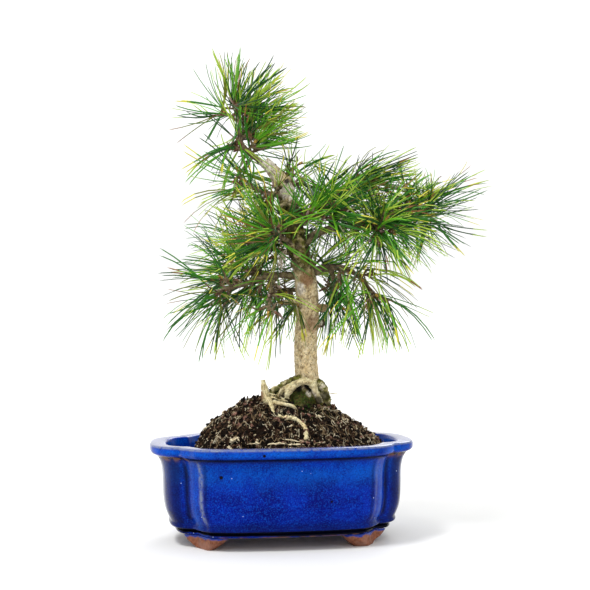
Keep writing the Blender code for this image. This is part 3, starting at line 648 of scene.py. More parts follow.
def pinhole(tree, place, radius):
    """1 in one round spot at a place on the pot."""
    middle = tuple(POT_MIDDLE + Vector(place) * MM)
    away = add_node(tree, "VectorMath", {0: place_of(tree), 1: middle}, operation="DISTANCE").outputs["Value"]
    return remap(tree, away, radius * MM, radius * 0.65 * MM)


def glaze_material():
    """Mottled cobalt glaze, azure where it is thin, grey where it is worn, nearly black where it ran thick in
    creases and where shade is painted under the lip, under the bead and on the pot's ends, with a painted
    grey reflection on the rim's top.
    """
    material, tree, shader = new_material("cobalt_glaze", 0.14, 0.05)
    flattened = add_node(tree, "Mapping", {"Vector": place_of(tree), "Scale": (1.0, 1.0, 1.6)})
    colour = mottled(tree, (26, 4.0, 0.65, flattened.outputs["Vector"]), (0.38, 0.64),
                     (0.0003, 0.0036, 0.145), (0.0006, 0.017, 0.315))
    thin = marked(tree, "thin", (15, 4.0, 0.65), (0.26, 0.62))
    colour = colour_mix(tree, thin, colour, (0.001, 0.085, 0.50))
    speckle = grain(tree, 1.1, 2.0, 0.7)
    colour = colour_mix(tree, remap(tree, speckle, 0.50, 0.76, 0.0, 0.6), colour, (0.002, 0.12, 0.70))
    colour = colour_mix(tree, remap(tree, speckle, 0.46, 0.28, 0.0, 0.75), colour, (0.0004, 0.003, 0.08))
    colour = colour_mix(tree, marked(tree, "worn", (3, 4.0), (0.28, 0.52)), colour, (0.17, 0.20, 0.28))
    # Nearly black where the glaze ran thick in the creases, and painted shade under the lip, under the bead
    # and on the pot's ends.
    colour = colour_mix(tree, mark(tree, "pooled_and_shade"), colour, (0.0010, 0.0015, 0.008))
    bare = marked(tree, "bare", (6, 3.0), (0.42, 0.56))
    colour = colour_mix(tree, bare, colour, (0.21, 0.10, 0.05))
    for middle, radius in PINHOLES:
        colour = colour_mix(tree, pinhole(tree, middle, radius), colour, (0.003, 0.002, 0.004))
    colour = colour_mix(tree, spots(tree, 7, 0.5, 0.35), colour, (0.40, 0.52, 0.75))
    # Painted reflection: the rim's top is mixed a quarter of the way to pale grey, and its gloss is raised.
    rim = mark(tree, "rim")
    colour = colour_mix(tree, calculate(tree, "MULTIPLY", rim, 0.25), colour, (0.30, 0.33, 0.40))
    tree.links.new(colour, shader.inputs["Base Color"])
    tree.links.new(remap(tree, rim, 0.0, 1.0, 0.05, 0.6), shader.inputs["Specular IOR Level"])
    rough = colour_mix(tree, bare, (0.14, 0.14, 0.14), (0.7, 0.7, 0.7))
    tree.links.new(rough, shader.inputs["Roughness"])
    add_bump(tree, shader, grain(tree, 7, 3.0), 0.2, 0.3)
    return material


def clay_material():
    material, tree, shader = new_material("bare_clay_with_glaze_drips", 0.8, 0.3)
    colour = mottled(tree, (2.2, 4.0), (0.35, 0.65), (0.14, 0.042, 0.020), (0.31, 0.112, 0.056))
    colour = mottled(tree, (9,), (0.48, 0.66, 0.0, 0.8), colour, (0.27, 0.14, 0.10))
    dripped = mark(tree, "dripped")
    colour = colour_mix(tree, dripped, colour, (0.005, 0.03, 0.27))
    tree.links.new(colour, shader.inputs["Base Color"])
    rough = colour_mix(tree, dripped, (0.8, 0.8, 0.8), (0.2, 0.2, 0.2))
    tree.links.new(rough, shader.inputs["Roughness"])
    add_bump(tree, shader, grain(tree, 1.4, 4.0), 0.3, 0.5)
    return material


def earth_material():
    material, tree, shader = new_material("dark_soil", 0.95, 0.05)
    colour = mottled(tree, (2.0, 5.0, 0.7), (0.4, 0.68), (0.0015, 0.0012, 0.001), (0.022, 0.014, 0.009))
    colour = mottled(tree, (16, 2.0), (0.5, 0.7), colour, (0.018, 0.008, 0.006))
    tree.links.new(colour, shader.inputs["Base Color"])
    add_bump(tree, shader, grain(tree, 1.0, 5.0, 0.7), 0.8, 0.9)
    return material


def crumb_material(name, dark, light, size):
    """A dull material for bits of bark, fibre and grit, in two shades of one colour."""
    material, tree, shader = new_material(name, 0.85, 0.1)
    tree.links.new(mottled(tree, (size, 3.0), (0.35, 0.65), dark, light), shader.inputs["Base Color"])
    add_bump(tree, shader, grain(tree, size * 0.5, 3.0), 0.2, 0.6)
    return material


def bark_material(name, low, high, fleck, warm):
    """Bark in two shades with dark flecks, overlaid where moss, pale wood or russet bark is marked, with one
    painted highlight among the pale marks, and nearly black where dark is marked: painted shade in the root
    crown's hollow and on the upper trunk, and a dark ring round the cut stub.
    """
    material, tree, shader = new_material(name, 0.88, 0.15)
    colour = mottled(tree, (2.6, 5.0, 0.65), (0.36, 0.62), low, high)
    colour = mottled(tree, (8, 3.0), (0.42, 0.66, 0.0, 0.6), colour, warm)
    colour = colour_mix(tree, mark(tree, "russet"), colour, (0.24, 0.10, 0.045))
    moss = mottled(tree, (2.4, 4.0, 0.7), (0.38, 0.62), (0.012, 0.018, 0.003), (0.24, 0.25, 0.045))
    colour = colour_mix(tree, marked(tree, "mossy", (5, 4.0), (0.3, 0.5)), colour, moss)
    vivid = mottled(tree, (1.6, 4.0, 0.7), (0.4, 0.62), (0.004, 0.013, 0.002), (0.035, 0.080, 0.010))
    colour = colour_mix(tree, mark(tree, "vivid"), colour, vivid)
    colour = mottled(tree, (1.5, 3.0, 0.7), (0.40, 0.62), colour_mix(tree, 0.35, colour, fleck), colour)
    colour = mottled(tree, (1.3, 2.0, 0.6), (0.60, 0.66, 0.0, 0.85), colour, fleck)
    # Pale wood, and one pale patch on the root crown that is a painted highlight.
    pale = mottled(tree, (2.0, 4.0), (0.4, 0.62), (0.50, 0.43, 0.34), (0.95, 0.88, 0.77))
    colour = colour_mix(tree, mark(tree, "pale"), colour, pale)
    colour = colour_mix(tree, calculate(tree, "MULTIPLY", mark(tree, "crack"), 0.7), colour, fleck)
    # Painted shade: the dark mark turns the bark nearly black in the root crown's hollow and on the upper
    # trunk under the foliage.
    colour = colour_mix(tree, mark(tree, "dark"), colour, (0.004, 0.003, 0.002))
    tree.links.new(colour, shader.inputs["Base Color"])
    add_bump(tree, shader, grain(tree, 1.2, 5.0, 0.75), 0.5, 0.9)
    return material


def needle_material(name, colour, roughness=0.36):
    """One plain base colour, dealt out by spray, with a waxy gloss."""
    material, tree, shader = new_material(name, roughness, 0.28)
    shader.inputs["Base Color"].default_value = (*colour, 1.0)
    return material


# Pot

def quarter_plan(outset):
    """The plan's points in one quarter, moved outwards square to the outline."""
    half_sizes = (RIM_LENGTH / 2 - LIP_OVERHANG, RIM_DEPTH / 2 - LIP_OVERHANG)
    points = [Vector((x * half_sizes[0], y * half_sizes[1], 0)) for x, y in PLAN_QUARTER]
    before = Vector((-points[1].x, points[1].y, 0))
    after = Vector((points[-2].x, -points[-2].y, 0))
    directions = path_directions([before] + points + [after])[1:-1]
    return [point + Vector((-along.y, along.x, 0)) * outset for point, along in zip(points, directions)]


def lobed_ring(outset, height, steps=PLAN_STEPS):
    """The pot's plan at one height: four bulging sides that meet in a crease at each corner.
    Returns the points, and for each its number of plan points from the middle of the long side."""
    corners = quarter_plan(outset)
    mirrored = Vector((-corners[1].x, corners[1].y, 0))
    front = smooth_path([mirrored] + corners[:CREASE_INDEX + 1], steps)[steps:]
    mirrored = Vector((corners[-2].x, -corners[-2].y, 0))
    side = smooth_path(corners[CREASE_INDEX:] + [mirrored], steps)[1:-steps]
    quarter = [(point.x, point.y, index / steps) for index, point in enumerate(front + side)]
    ring = quarter[:-1]
    ring += [(x, -y, number) for x, y, number in reversed(quarter)][:-1]
    ring += [(-x, -y, number) for x, y, number in quarter][:-1]
    ring += [(-x, y, number) for x, y, number in reversed(quarter)][:-1]
    return [Vector((x, y, height)) for x, y, number in ring], [number for x, y, number in ring]


def inner_outset(height):
    """How far inside the body's outer face the pot's inner wall lies at a height."""
    floor = FOOT_HEIGHT + GAP + FLOOR_THICKNESS
    share = (height - floor) / (RIM_HEIGHT - floor)
    return -WALL - WALL_THICKENING * (1 - min(1.0, max(0.0, share)))


def bell(value, middle, width):
    return math.exp(-((value - middle) / width) ** 2)


def worn_share(point, outset, number, body):
    """Where the glaze has worn pale: along the ridges, two of them above all, and on the rim's edge."""
    height = point.z
    streak = 0.17 + 0.08 * noise.noise(Vector((point.x * 0.2, point.y * 0.2, height * 0.12)))
    ridge = bell(number, 3.35 - 0.25 * blend(30, 16, height), streak) * (0.2 + 0.8 * body)
    ridge *= 0.35 if point.x * point.y < 0 else 1.0
    return max(ridge, 0.9 * bell(height, RIM_HEIGHT - 0.7, 0.7) * blend(7.5, 8.8, outset))


def pooled_and_shade_share(point, outset, number, body):
    """Where the glaze is painted nearly black: thick glaze in the creases and beside the ridges, painted
    shade under the lip, under the bead over the foot ring and on the pot's ends, and a darker band low on the
    body."""
    height = point.z
    wave = 0.7 * noise.noise(Vector((point.x, point.y, 0.0)) / 5.0) - blend(-30, 10, point.x)
    crease = 0.8 * bell(number, CREASE_INDEX + 0.1, 0.35) * body
    beside_ridge = 0.5 * bell(number, 2.95, 0.16) * body
    # Painted shade under the bead, under the lip and over the pot's two ends; low is a darker band near the
    # base.
    under_bead = blend(10.9 + wave, 11.5 + wave, height) * blend(15.4, 14.4, height)
    under_bead *= blend(3.0, 4.0, -outset)
    under_lip = 0.95 * bell(height, 67.4, 2.0) * blend(8.6, 6.0, outset) * blend(0.0, 2.0, outset)
    low = 0.5 * bell(height, 16.5, 4.0)
    ends = 0.68 * blend(5.2, 6.2, number) * blend(69, 66, height)
    return max(crease, beside_ridge, under_bead, under_lip, low, ends)


def pot_marks(point, outset, number):
    """How worn, thick or painted in shade, bare, rim-like and thin the glaze is at a point of the pot; the
    rim mark also carries a painted grey reflection.
    """
    height = point.z
    outside = blend(-12.6, -11.6, outset) * blend(RIM_HEIGHT + 0.2, RIM_HEIGHT - 0.1, height)
    body = blend(18, 24, height) * blend(69, 60, height)
    worn = min(1.0, worn_share(point, outset, number, body) * outside)
    pooled_and_shade = min(1.0, pooled_and_shade_share(point, outset, number, body) * outside)
    bare = 0.65 * blend(3.8, 4.6, number) * bell(height, 66.6, 1.8) * blend(0.5, 3, outset)
    bare = max(bare, blend(-10.7, -11.4, outset), 0.9 * blend(10.6, 10.2, height) * blend(2.6, 2.0, number))
    # The rim's top, which the glaze paints with a grey reflection and makes glossier.
    rim = blend(RIM_HEIGHT - 0.7, RIM_HEIGHT - 0.1, height)
    rim *= blend(9.2, 8.2, outset) * blend(-2.9, -1.8, outset)
    thin = max(0.8 * bell(height, 56, 8), 0.9 * bell(height, 71.8, 2.6), 0.75 * bell(number, 4.1, 0.45))
    return worn, pooled_and_shade, bare, rim, thin * outside


def make_pot(glaze):
    section = [(point.x, point.y) for point in smooth_path([(*row, 0) for row in POT_SECTION], SECTION_STEPS)]
    shapes = Shapes()
    rings = []
    marks = []
    for outset, height in section:
        ring, numbers = lobed_ring(outset, height)
        rings.append(ring[::-1])
        marks += [pot_marks(point, outset, number) for point, number in zip(ring[::-1], numbers[::-1])]
    shapes.add_rings(rings)
    marks += [(0, 0, 1, 0, 0), (0, 0, 0, 0, 0)]
    mesh = shapes.mesh("pot_shell")
    for index, name in enumerate(("worn", "pooled_and_shade", "bare", "rim", "thin")):
        set_marks(mesh, name, [row[index] for row in marks])
    make_piece("pot_shell", mesh, [glaze], ["pot"])


def inside(point, ring):
    """Whether a point is inside an outline, both seen from above."""
    crossings = 0
    for first, second in zip(ring, ring[1:] + ring[:1]):
        if (first.y > point.y) != (second.y > point.y):
            share = (point.y - first.y) / (second.y - first.y)
            crossings += point.x < first.x + (second.x - first.x) * share
    return crossings % 2 == 1


def drawn_in(point, heart, outline):
    """The point, or where the line to it from the heart leaves the outline."""
    if inside(point, outline):
        return point
    low, high = 0.0, 1.0
    for halving in range(HALVINGS):
        share = (low + high) / 2
        if inside(heart.lerp(point, share), outline):
            low = share
        else:
            high = share
    return heart.lerp(point, low)


def foot_ring(section, depth_side, side, underside):
    """A squarish oval, drawn in where it would stand out from under the pot."""
    middle, half_sizes, share = section
    height = FOOT_HEIGHT * share
    heart = Vector((side * FOOT_HEART[0], depth_side * FOOT_HEART[1], height))
    ring = []
    for number in range(FOOT_SIDES):
        angle = math.tau * (number + 0.5) / FOOT_SIDES
        spread = abs(math.cos(angle)) ** FOOT_SQUARENESS + abs(math.sin(angle)) ** FOOT_SQUARENESS
        reach = spread ** (-1 / FOOT_SQUARENESS)
        point = Vector((side * middle.x + half_sizes.x * reach * math.cos(angle),
                        depth_side * middle.y + half_sizes.y * reach * math.sin(angle), height))
        ring.append(drawn_in(point, heart, underside))
    return ring


def make_foot(name, sections, depth_side, side, clay):
    underside = lobed_ring(POT_SECTION[2][0], 0.0, steps=4)[0]
    middles = smooth_path([(row[0], row[1], row[4]) for row in sections], FOOT_STEPS)
    sizes = smooth_path([(row[2], row[3], row[4]) for row in sections], FOOT_STEPS)
    rings = [foot_ring((middle, size, middle.z), depth_side, side, underside)
             for middle, size in zip(middles, sizes)]
    shapes = Shapes()
    shapes.add_rings(rings)
    mesh = shapes.mesh("clay_" + name)
    dripped = []
    for point in shapes.points:
        edge = FOOT_HEIGHT - 1.3 + 1.8 * noise.noise(Vector((point.x, point.y, 0.0)) / 5.0)
        dripped.append(blend(-0.25, 0.25, point.z - edge))
    set_marks(mesh, "dripped", dripped)
    make_piece(mesh.name, mesh, [clay], [name])


def make_feet(clay):
    for depth_name, depth_side in (("front", -1), ("back", 1)):
        for side_name, side in (("left", -1), ("right", 1)):
            make_foot(f"foot_{depth_name}_{side_name}", FOOT_SECTIONS[side_name], depth_side, side, clay)


# Soil

def mound_height(x, y):
    """The mound without its seat: steep to the left, gentle to the front and the right."""
    across = x - SOIL_MIDDLE
    turn = across / max(math.hypot(across, y), GAP)
    left, front, right = SOIL_SHAPES
    shape = front + ((left if turn < 0 else right) - front) * turn * turn
    away = math.hypot(across / SOIL_SPREADS[turn > 0], y / SOIL_SPREAD_DEPTH)
    return SOIL_EDGE + SOIL_DOME * max(0.0, 1 - away * away) ** shape


def soil_height(x, y):
    """Height of the mound with its seat, its heaps and its crumbs."""
    place = Vector((x, y, 0.0))
    beyond_seat = max(0.0, math.hypot(x - SEAT_PLACE[0], y - SEAT_PLACE[1]) - SEAT_RADIUS)
    beyond_foot = max(0.0, math.hypot(x - SEAT_PLACE[0], y - SEAT_PLACE[1]) - HEAP_CLEARANCE)
    heap = 0.0
    for middle_x, middle_y, spread_x, spread_y, height in HEAPS:
        away = math.hypot((x - middle_x) / spread_x, (y - middle_y) / spread_y)
        heap = max(heap, height * math.exp(-away * away) * min(1.0, 0.3 + beyond_foot / SEAT_EDGE))
    crumbs = noise.fractal(place / CRUMB_SIZE, 0.75, 2.1, 5)
    clods = noise.noise(place / 13.0)
    smooth = max(min(mound_height(x, y), SOIL_TOP), SOIL_TOP - SEAT_SLOPE * beyond_seat) + heap
    return smooth + CRUMB_HEIGHT * crumbs + 1.2 * clods - 0.6


def make_soil(earth):
    edge = lobed_ring(inner_outset(SOIL_EDGE) + 0.2, SOIL_EDGE)[0]
    floor = FOOT_HEIGHT + FLOOR_THICKNESS + 2 * GAP
    rings = [lobed_ring(inner_outset(floor), floor)[0]]
    middle = Vector((*SEAT_PLACE, 0.0))
    for step in range(SOIL_RINGS + 1):
        share = step / SOIL_RINGS
        ring = []
        for point in edge:
            place = Vector((point.x, point.y, 0.0)).lerp(middle, share * 0.99)
            ring.append(Vector((place.x, place.y, soil_height(place.x, place.y))))
        rings.append(ring)
    shapes = Shapes()
    shapes.add_rings([ring[::-1] for ring in rings])
    make_piece("soil_mound", shapes.mesh("soil_mound"), [earth], ["soil"])


def soil_places(rule, count, margin=1.0):
    """Places scattered over the soil's surface, clear of the trunk's foot."""
    ring = lobed_ring(inner_outset(SOIL_EDGE) - margin, SOIL_EDGE, steps=2)[0]
    places = []
    while len(places) < count:
        x = rule.uniform(-RIM_LENGTH / 2, RIM_LENGTH / 2)
        y = rule.uniform(-RIM_DEPTH / 2, RIM_DEPTH / 2)
        place = Vector((x, y, soil_height(x, y)))
        from_trunk = math.hypot(x - SEAT_PLACE[0], y - SEAT_PLACE[1])
        if from_trunk > SEAT_RADIUS - 8 and inside(place, ring):
            places.append(place)
    return places


CHIP_FACES = ((0, 3, 2, 1), (4, 5, 6, 7), (0, 1, 5, 4), (1, 2, 6, 5), (2, 3, 7, 6), (3, 0, 4, 7))


def add_chip(shapes, rule, place, size, flatness, finish):
    """An uneven six-sided bit, lying at any turn."""
    long_way = any_direction(rule)
    long_way.z *= 0.4
    long_way.normalize()
    side_way = long_way.orthogonal().normalized()
    up_way = long_way.cross(side_way)
    points = []
    for level in (-1, 1):
        for turn in range(4):
            angle = math.tau * (turn + 0.5) / 4
            reach = size * rule.uniform(0.6, 1.1) * (0.75 if level > 0 else 1.0)
            points.append(place + long_way * math.cos(angle) * reach
                          + side_way * math.sin(angle) * reach * rule.uniform(0.35, 0.7)
                          + up_way * level * size * flatness * rule.uniform(0.6, 1.2))
    shapes.add(points, CHIP_FACES, finish)


def add_strip(shapes, start, end, half_width, finish):
    """A flat strip of bark that lies on the crumbs, ragged along its edges."""
    rings = []
    for step in range(STRIP_STEPS + 1):
        place = start.lerp(end, step / STRIP_STEPS)
        place.z = mound_height(place.x, place.y) + 2.2 + 0.5 * noise.noise(place / 2.0)
        width = half_width * (0.55 + 0.45 * math.sin(math.pi * step / STRIP_STEPS) + 0.4 * noise.noise(place))
        rings.append([place + Vector((0, math.cos(turn) * width, math.sin(turn) * width * 0.45))
                      for turn in (math.tau * side / STRIP_SIDES for side in range(STRIP_SIDES))])
    shapes.add_rings(rings, finish)


def make_chips(materials):
    """Bits of bark and grit in the soil, more of them dark than red or pale, and larger loose pieces."""
    rule = random.Random(CHIP_SEED)
    shapes = Shapes()
    for place in soil_places(rule, CHIP_COUNT, 1.5):
        finish = rule.choices(range(len(materials)), (50, 24, 15, 11))[0]
        size = rule.uniform(0.7, 1.9) if finish else rule.uniform(0.9, 2.6)
        add_chip(shapes, rule, place + Vector((0, 0, size * 0.25)), size, rule.uniform(0.25, 0.6), finish)
    for place in soil_places(rule, LARGE_CHIP_COUNT, 4.0):
        size = rule.uniform(2.2, 4.0)
        finish = rule.choices(range(len(materials)), (45, 30, 20, 5))[0]
        add_chip(shapes, rule, place + Vector((0, 0, size * 0.3)), size, rule.uniform(0.2, 0.45), finish)
    pale = len(materials) - 1
    for start, end, half_width in LOOSE_BARK:
        add_strip(shapes, Vector((*start, 0)), Vector((*end, 0)), half_width, pale)
    for x, y, size in LOOSE_LUMPS:
        add_chip(shapes, rule, Vector((x, y, soil_height(x, y) + size * 0.5)), size, 0.8, pale)
    make_piece("soil_chips", shapes.mesh("soil_chips", smooth=False), materials)


def add_fibre(shapes, rule, place, length, radius, finish, lift):
    """A rootlet that wanders over the soil."""
    heading = rule.uniform(0, math.tau)
    path = []
    centre = place.copy()
    arch = rule.uniform(0.0, lift) * length * 0.3
    for step in range(ROOTLET_STEPS + 1):
        above = arch * math.sin(math.pi * (step / ROOTLET_STEPS))
        ground = soil_height(centre.x, centre.y)
        path.append(Vector((centre.x, centre.y, ground + radius * 0.3 + above)))
        heading += rule.uniform(-1.0, 1.0)
        centre = centre + Vector((math.cos(heading), math.sin(heading), 0)) * length / ROOTLET_STEPS
    radii = [radius * (1 - 0.6 * step / ROOTLET_STEPS) for step in range(ROOTLET_STEPS + 1)]
    shapes.add_rings(tube_rings(path, radii, 3), finish, capped=False)


def make_fibres(materials):
    """Fine rootlets all over the mound."""
    rule = random.Random(ROOTLET_SEED)
    shapes = Shapes()
    for place in soil_places(rule, ROOTLET_COUNT, 4.0):
        finish = rule.choices(range(len(materials)), (40, 23, 37))[0]
        length = 3.2 + 8 * rule.random() ** 2
        add_fibre(shapes, rule, place, length, rule.uniform(0.22, 0.5), finish, lift=1.3)
    make_piece("soil_rootlets", shapes.mesh("soil_rootlets"), materials)


# Bark

def bark_relief(point, plate_height, mossy):
    """How far the bark stands out, and how deep in a crack the point is."""
    wobble = noise.noise_vector(point / 3.0) * 1.1
    stretched = Vector((point.x, point.y, point.z * 0.7)) + wobble
    near, next_near = noise.voronoi(stretched / PLATE_SIZE)[0][:2]
    broken = blend(-0.15, 0.25, noise.noise(point / 3.5 + Vector((5, 2, 7))))
    crack = (1 - blend(0.02, 0.2, next_near - near)) * broken
    rough = noise.fractal(point / 1.8, 0.7, 2.2, 4)
    lumps = noise.noise(point / 6.0)
    relief = plate_height * (0.35 - crack) * (1 - 0.6 * mossy) + 0.42 * rough + (0.4 + 0.7 * mossy) * lumps
    return relief, crack * (1 - 0.7 * mossy)


Patch = namedtuple("Patch", "mark middle radius strength")

# Places on the trunk where the bark changes, as middle and radius; the dark patches round the root crown are
# painted shade in its hollow
TRUNK_PATCHES = (
    Patch("pale", (14.5, -8, 193), 5.2, 0.9),
    Patch("pale", (8, -5, 270), 8.0, 1.0),
    Patch("pale", (-3, -6, 282), 5.5, 0.9),
    Patch("pale", (-9, -4, 290), 6.5, 1.0),
    Patch("dark", (5, -8, 277.5), 3.0, 0.9),
    Patch("dark", (-1, -9, 271), 3.8, 0.9),
    Patch("pale", (35, -4, 166), 3.0, 0.7),
    Patch("pale", (30, -12, 115), 3.2, 0.7),
    Patch("pale", (21.0, -17, 112), 3.0, 0.75),
    Patch("pale", (25.0, -16, 110.5), 2.2, 0.75),
    # Painted highlight: a small whitish spot on the root crown's right wall.
    Patch("pale", (33.0, -10, 117.5), 2.2, 0.6),
    Patch("russet", (-18, -12, 110), 5.0, 0.9),
    Patch("russet", (33, -6, 178), 5.5, 0.6),
    Patch("vivid", (13.5, -17, 108), 7.5, 1.0),
    Patch("vivid", (20, -18, 103.5), 6.5, 0.9),
    Patch("dark", (27.5, -17, 106), 4.0, 0.9),
    Patch("vivid", (28, -17, 101), 4.5, 0.9),
    Patch("dark", (33.5, -11, 109), 4.5, 0.8),
    Patch("dark", (29, -14, 112), 4.0, 0.8),
    Patch("dark", (35, -10, 100), 4.5, 0.7),
    Patch("dark", (20, -13, 116.5), 4.6, 1.0),
    Patch("dark", (12, -13, 115.5), 5.0, 1.0),
    Patch("dark", (2, -12, 109), 6.0, 0.9),
    Patch("dark", (9, -12, 172.0), 1.6, 0.8),
    Patch("russet", (21, -8, 201), 6.5, 0.8),
    Patch("russet", (25, -8, 165), 7.0, 0.6),
    Patch("russet", (-8, -2, 284), 4.5, 0.6),
    Patch("russet", (16, -8, 222), 5.0, 0.4),
)


def patch_marks(point, height_moss):
    marks = {"pale": 0.0, "russet": 0.0, "dark": 0.0, "vivid": 0.0}
    for patch in TRUNK_PATCHES:
        away = (point - Vector(patch.middle)).length
        ragged = patch.radius * (1 + 0.35 * noise.noise(point / 2.5))
        share = patch.strength * (1 - blend(0.7 * ragged, 1.15 * ragged, away))
        marks[patch.mark] = max(marks[patch.mark], share)
    # Painted shade on the upper trunk, under the foliage.
    shaded = SHADED * blend(200, 214, point.z) * (1 - blend(256, 264, point.z))
    shaded *= blend(-0.25, 0.2, noise.noise(point / 4.0)) * (1 - marks["pale"])
    marks["dark"] = max(marks["dark"], shaded)
    marks["mossy"] = height_moss * (1 - marks["pale"])
    return marks


def trunk_moss(point):
    """Moss at the root crown and on the upper trunk."""
    low = 1 - blend(114, 123, point.z + 4 * noise.noise(point / 6.0))
    high = blend(196, 216, point.z + 8 * noise.noise(point / 9.0)) * (1 - blend(256, 268, point.z))
    return max(low, high)


def flare(centre, angle):
    """Buttresses at the foot of the trunk, which fade out above it."""
    share = max(0.0, 1 - (centre.z - SOIL_TOP) / FLARE_HEIGHT)
    return 1 + FLARE_DEPTH * share * math.cos(FLARE_LOBES * angle)


def hollow_under_arch(point):
    """The dark hole in the root crown, under the arched root."""
    return 3.5 * math.exp(-((point.x - 15) / 7.0) ** 2 - ((point.z - 115) / 2.8) ** 2) * (point.y < -1)


def fold_relief(height):
    """Rings that old bends have pressed into the upper trunk's bark."""
    return sum(-0.9 * bell(height, fold, 1.0) + 0.45 * bell(height, fold + 2.6, 1.6) for fold in BARK_FOLDS)


def no_moss(point):
    return 0.0


def half_moss(point):
    return 0.5


def relief_rings(rings, plate_height, moss_rule, extra=None):
    """Moves every point of a tube's rings out by the bark's relief. Returns rings and marks."""
    shaped = []
    marks = []
    for ring in rings:
        centre = sum(ring, Vector()) / len(ring)
        moved = []
        for point in ring:
            mossy = moss_rule(point)
            relief, crack = bark_relief(point, plate_height, mossy)
            if extra:
                relief += extra(point)
            moved.append(point + (point - centre).normalized() * relief)
            row = patch_marks(point, mossy)
            row["crack"] = crack
            marks.append(row)
        shaped.append(moved)
    return shaped, marks


def add_bark_tube(shapes, marks, rings, plate_height, moss_rule, extra=None):
    shaped, rows = relief_rings(rings, plate_height, moss_rule, extra)
    shapes.add_rings(shaped)
    marks += rows + [rows[0], rows[-1]]


def bark_piece(name, shapes, marks, materials, nodes):
    """Makes the piece, and returns places where moss grows, as point, way out and how vivid it is."""
    mesh = shapes.mesh(name)
    for label in ("pale", "russet", "dark", "vivid", "mossy", "crack"):
        set_marks(mesh, label, [row[label] for row in marks])
    sites = []
    for vertex, row in zip(mesh.vertices, marks):
        if max(row["vivid"], row["mossy"]) > 0.5 and row["dark"] < 0.5:
            sites.append((vertex.co.copy(), vertex.normal.copy(), row["vivid"]))
    make_piece(name, mesh, materials, nodes)
    return sites


def trunk_relief(point):
    swelling = 1.6 * bell((point - Vector((27, -5, 166))).length, 0, 5.5)
    return fold_relief(point.z) + swelling - hollow_under_arch(point)


def add_scar_stub(shapes, marks):
    """A cut stub with a dark ring of bark round its pale, dished face."""
    start, end, stub_radii = SCAR_STUB
    stub = smooth_path((start, end), 12)
    rings = tube_rings(stub, taper(stub_radii, len(stub)), SCAR_STUB_SIDES)
    inward = (stub[0] - stub[-1]).normalized()
    rim = rings[-1]
    for share in (0.25, 0.7):
        rings.append([point.lerp(stub[-1], share) + inward * 0.9 for point in rim])
    add_bark_tube(shapes, marks, rings, 0.4, no_moss)
    face = SCAR_STUB_SIDES + 2
    for row in marks[-face - 2 * SCAR_STUB_SIDES:-face]:
        row["dark"] = 0.85
    for row in marks[-face:]:
        row["pale"] = 1.0
        row["crack"] = 0.0


def make_trunk(bark):
    path = smooth_path([station[:3] for station in TRUNK_STATIONS], TRUNK_STEPS)
    radii = [row.x for row in smooth_path([(station[3], 0, 0) for station in TRUNK_STATIONS], TRUNK_STEPS)]
    shapes = Shapes()
    marks = []
    rings = tube_rings(path, radii, TRUNK_SIDES, flare)
    add_bark_tube(shapes, marks, rings, PLATE_HEIGHT, trunk_moss, trunk_relief)
    add_scar_stub(shapes, marks)
    for points, radii in TRUNK_STUBS:
        path = smooth_path(points, 8)
        add_bark_tube(shapes, marks, tube_rings(path, taper(radii, len(path)), 20), 1.1, half_moss)
    return bark_piece("trunk_bark", shapes, marks, [bark], ["trunk"])


def bough_moss(point):
    return 0.35 * blend(0.1, 0.5, noise.noise(point / 8.0)) * (1 - blend(262, 274, point.z))


def limb_rings(limb, spacing, sides, collar=0.0):
    """Fine rings along a limb, wider by a collar where it leaves its parent."""
    rough = smooth_path(limb.points)
    length = sum((second - first).length for first, second in zip(rough, rough[1:]))
    steps = max(4, round(length / spacing / (len(limb.points) - 1)))
    path = smooth_path(limb.points, steps)
    radii = taper(limb.radii, len(path))
    radii = [radius * (1 + collar * (1 - blend(0.0, 0.4, i / len(radii)))) for i, radius in enumerate(radii)]
    return tube_rings(path, radii, sides)


def make_boughs(bark):
    shapes = Shapes()
    marks = []
    for bough in BOUGHS:
        slim = bough._replace(radii=[radius * BOUGH_SLIMNESS for radius in bough.radii])
        add_bark_tube(shapes, marks, limb_rings(slim, 0.9, 24, collar=0.4), 0.45, bough_moss)
    bark_piece("bough_bark", shapes, marks, [bark], [bough.name for bough in BOUGHS])


def root_moss(point):
    return blend(-0.45, -0.05, noise.noise(point / 5.0 + Vector((3, 1, 2))))


def root_lumps(point):
    return 0.75 * noise.noise(point / 2.6) + 0.35 * noise.noise(point / 1.1)


def fine_root_lumps(point):
    return 0.3 * root_lumps(point)


def make_roots(bark):
    shapes = Shapes()
    marks = []
    for root in ROOTS:
        moss_rule = root_moss if root.name in MOSSY_ROOTS else no_moss
        add_bark_tube(shapes, marks, limb_rings(root, 0.8, 28), 0.2, moss_rule, root_lumps)
    for points, radii in FINE_ROOTS:
        path = smooth_path(points, 8)
        rings = tube_rings(path, taper(radii, len(path)), 14)
        add_bark_tube(shapes, marks, rings, 0.1, no_moss, fine_root_lumps)
    return bark_piece("root_bark", shapes, marks, [bark], [root.name for root in ROOTS])


def soil_moss(rule):
    """Sites for moss on the soil, in soft-edged patches."""
    sites = []
    for middle_x, middle_y, spread, count, vivid in MOSS_PATCHES:
        for number in range(count):
            x = rule.gauss(middle_x, spread)
            y = rule.gauss(middle_y, spread * 0.6)
            sites.append((Vector((x, y, soil_height(x, y))), Vector((0, -0.5, 1)), vivid))
    return sites


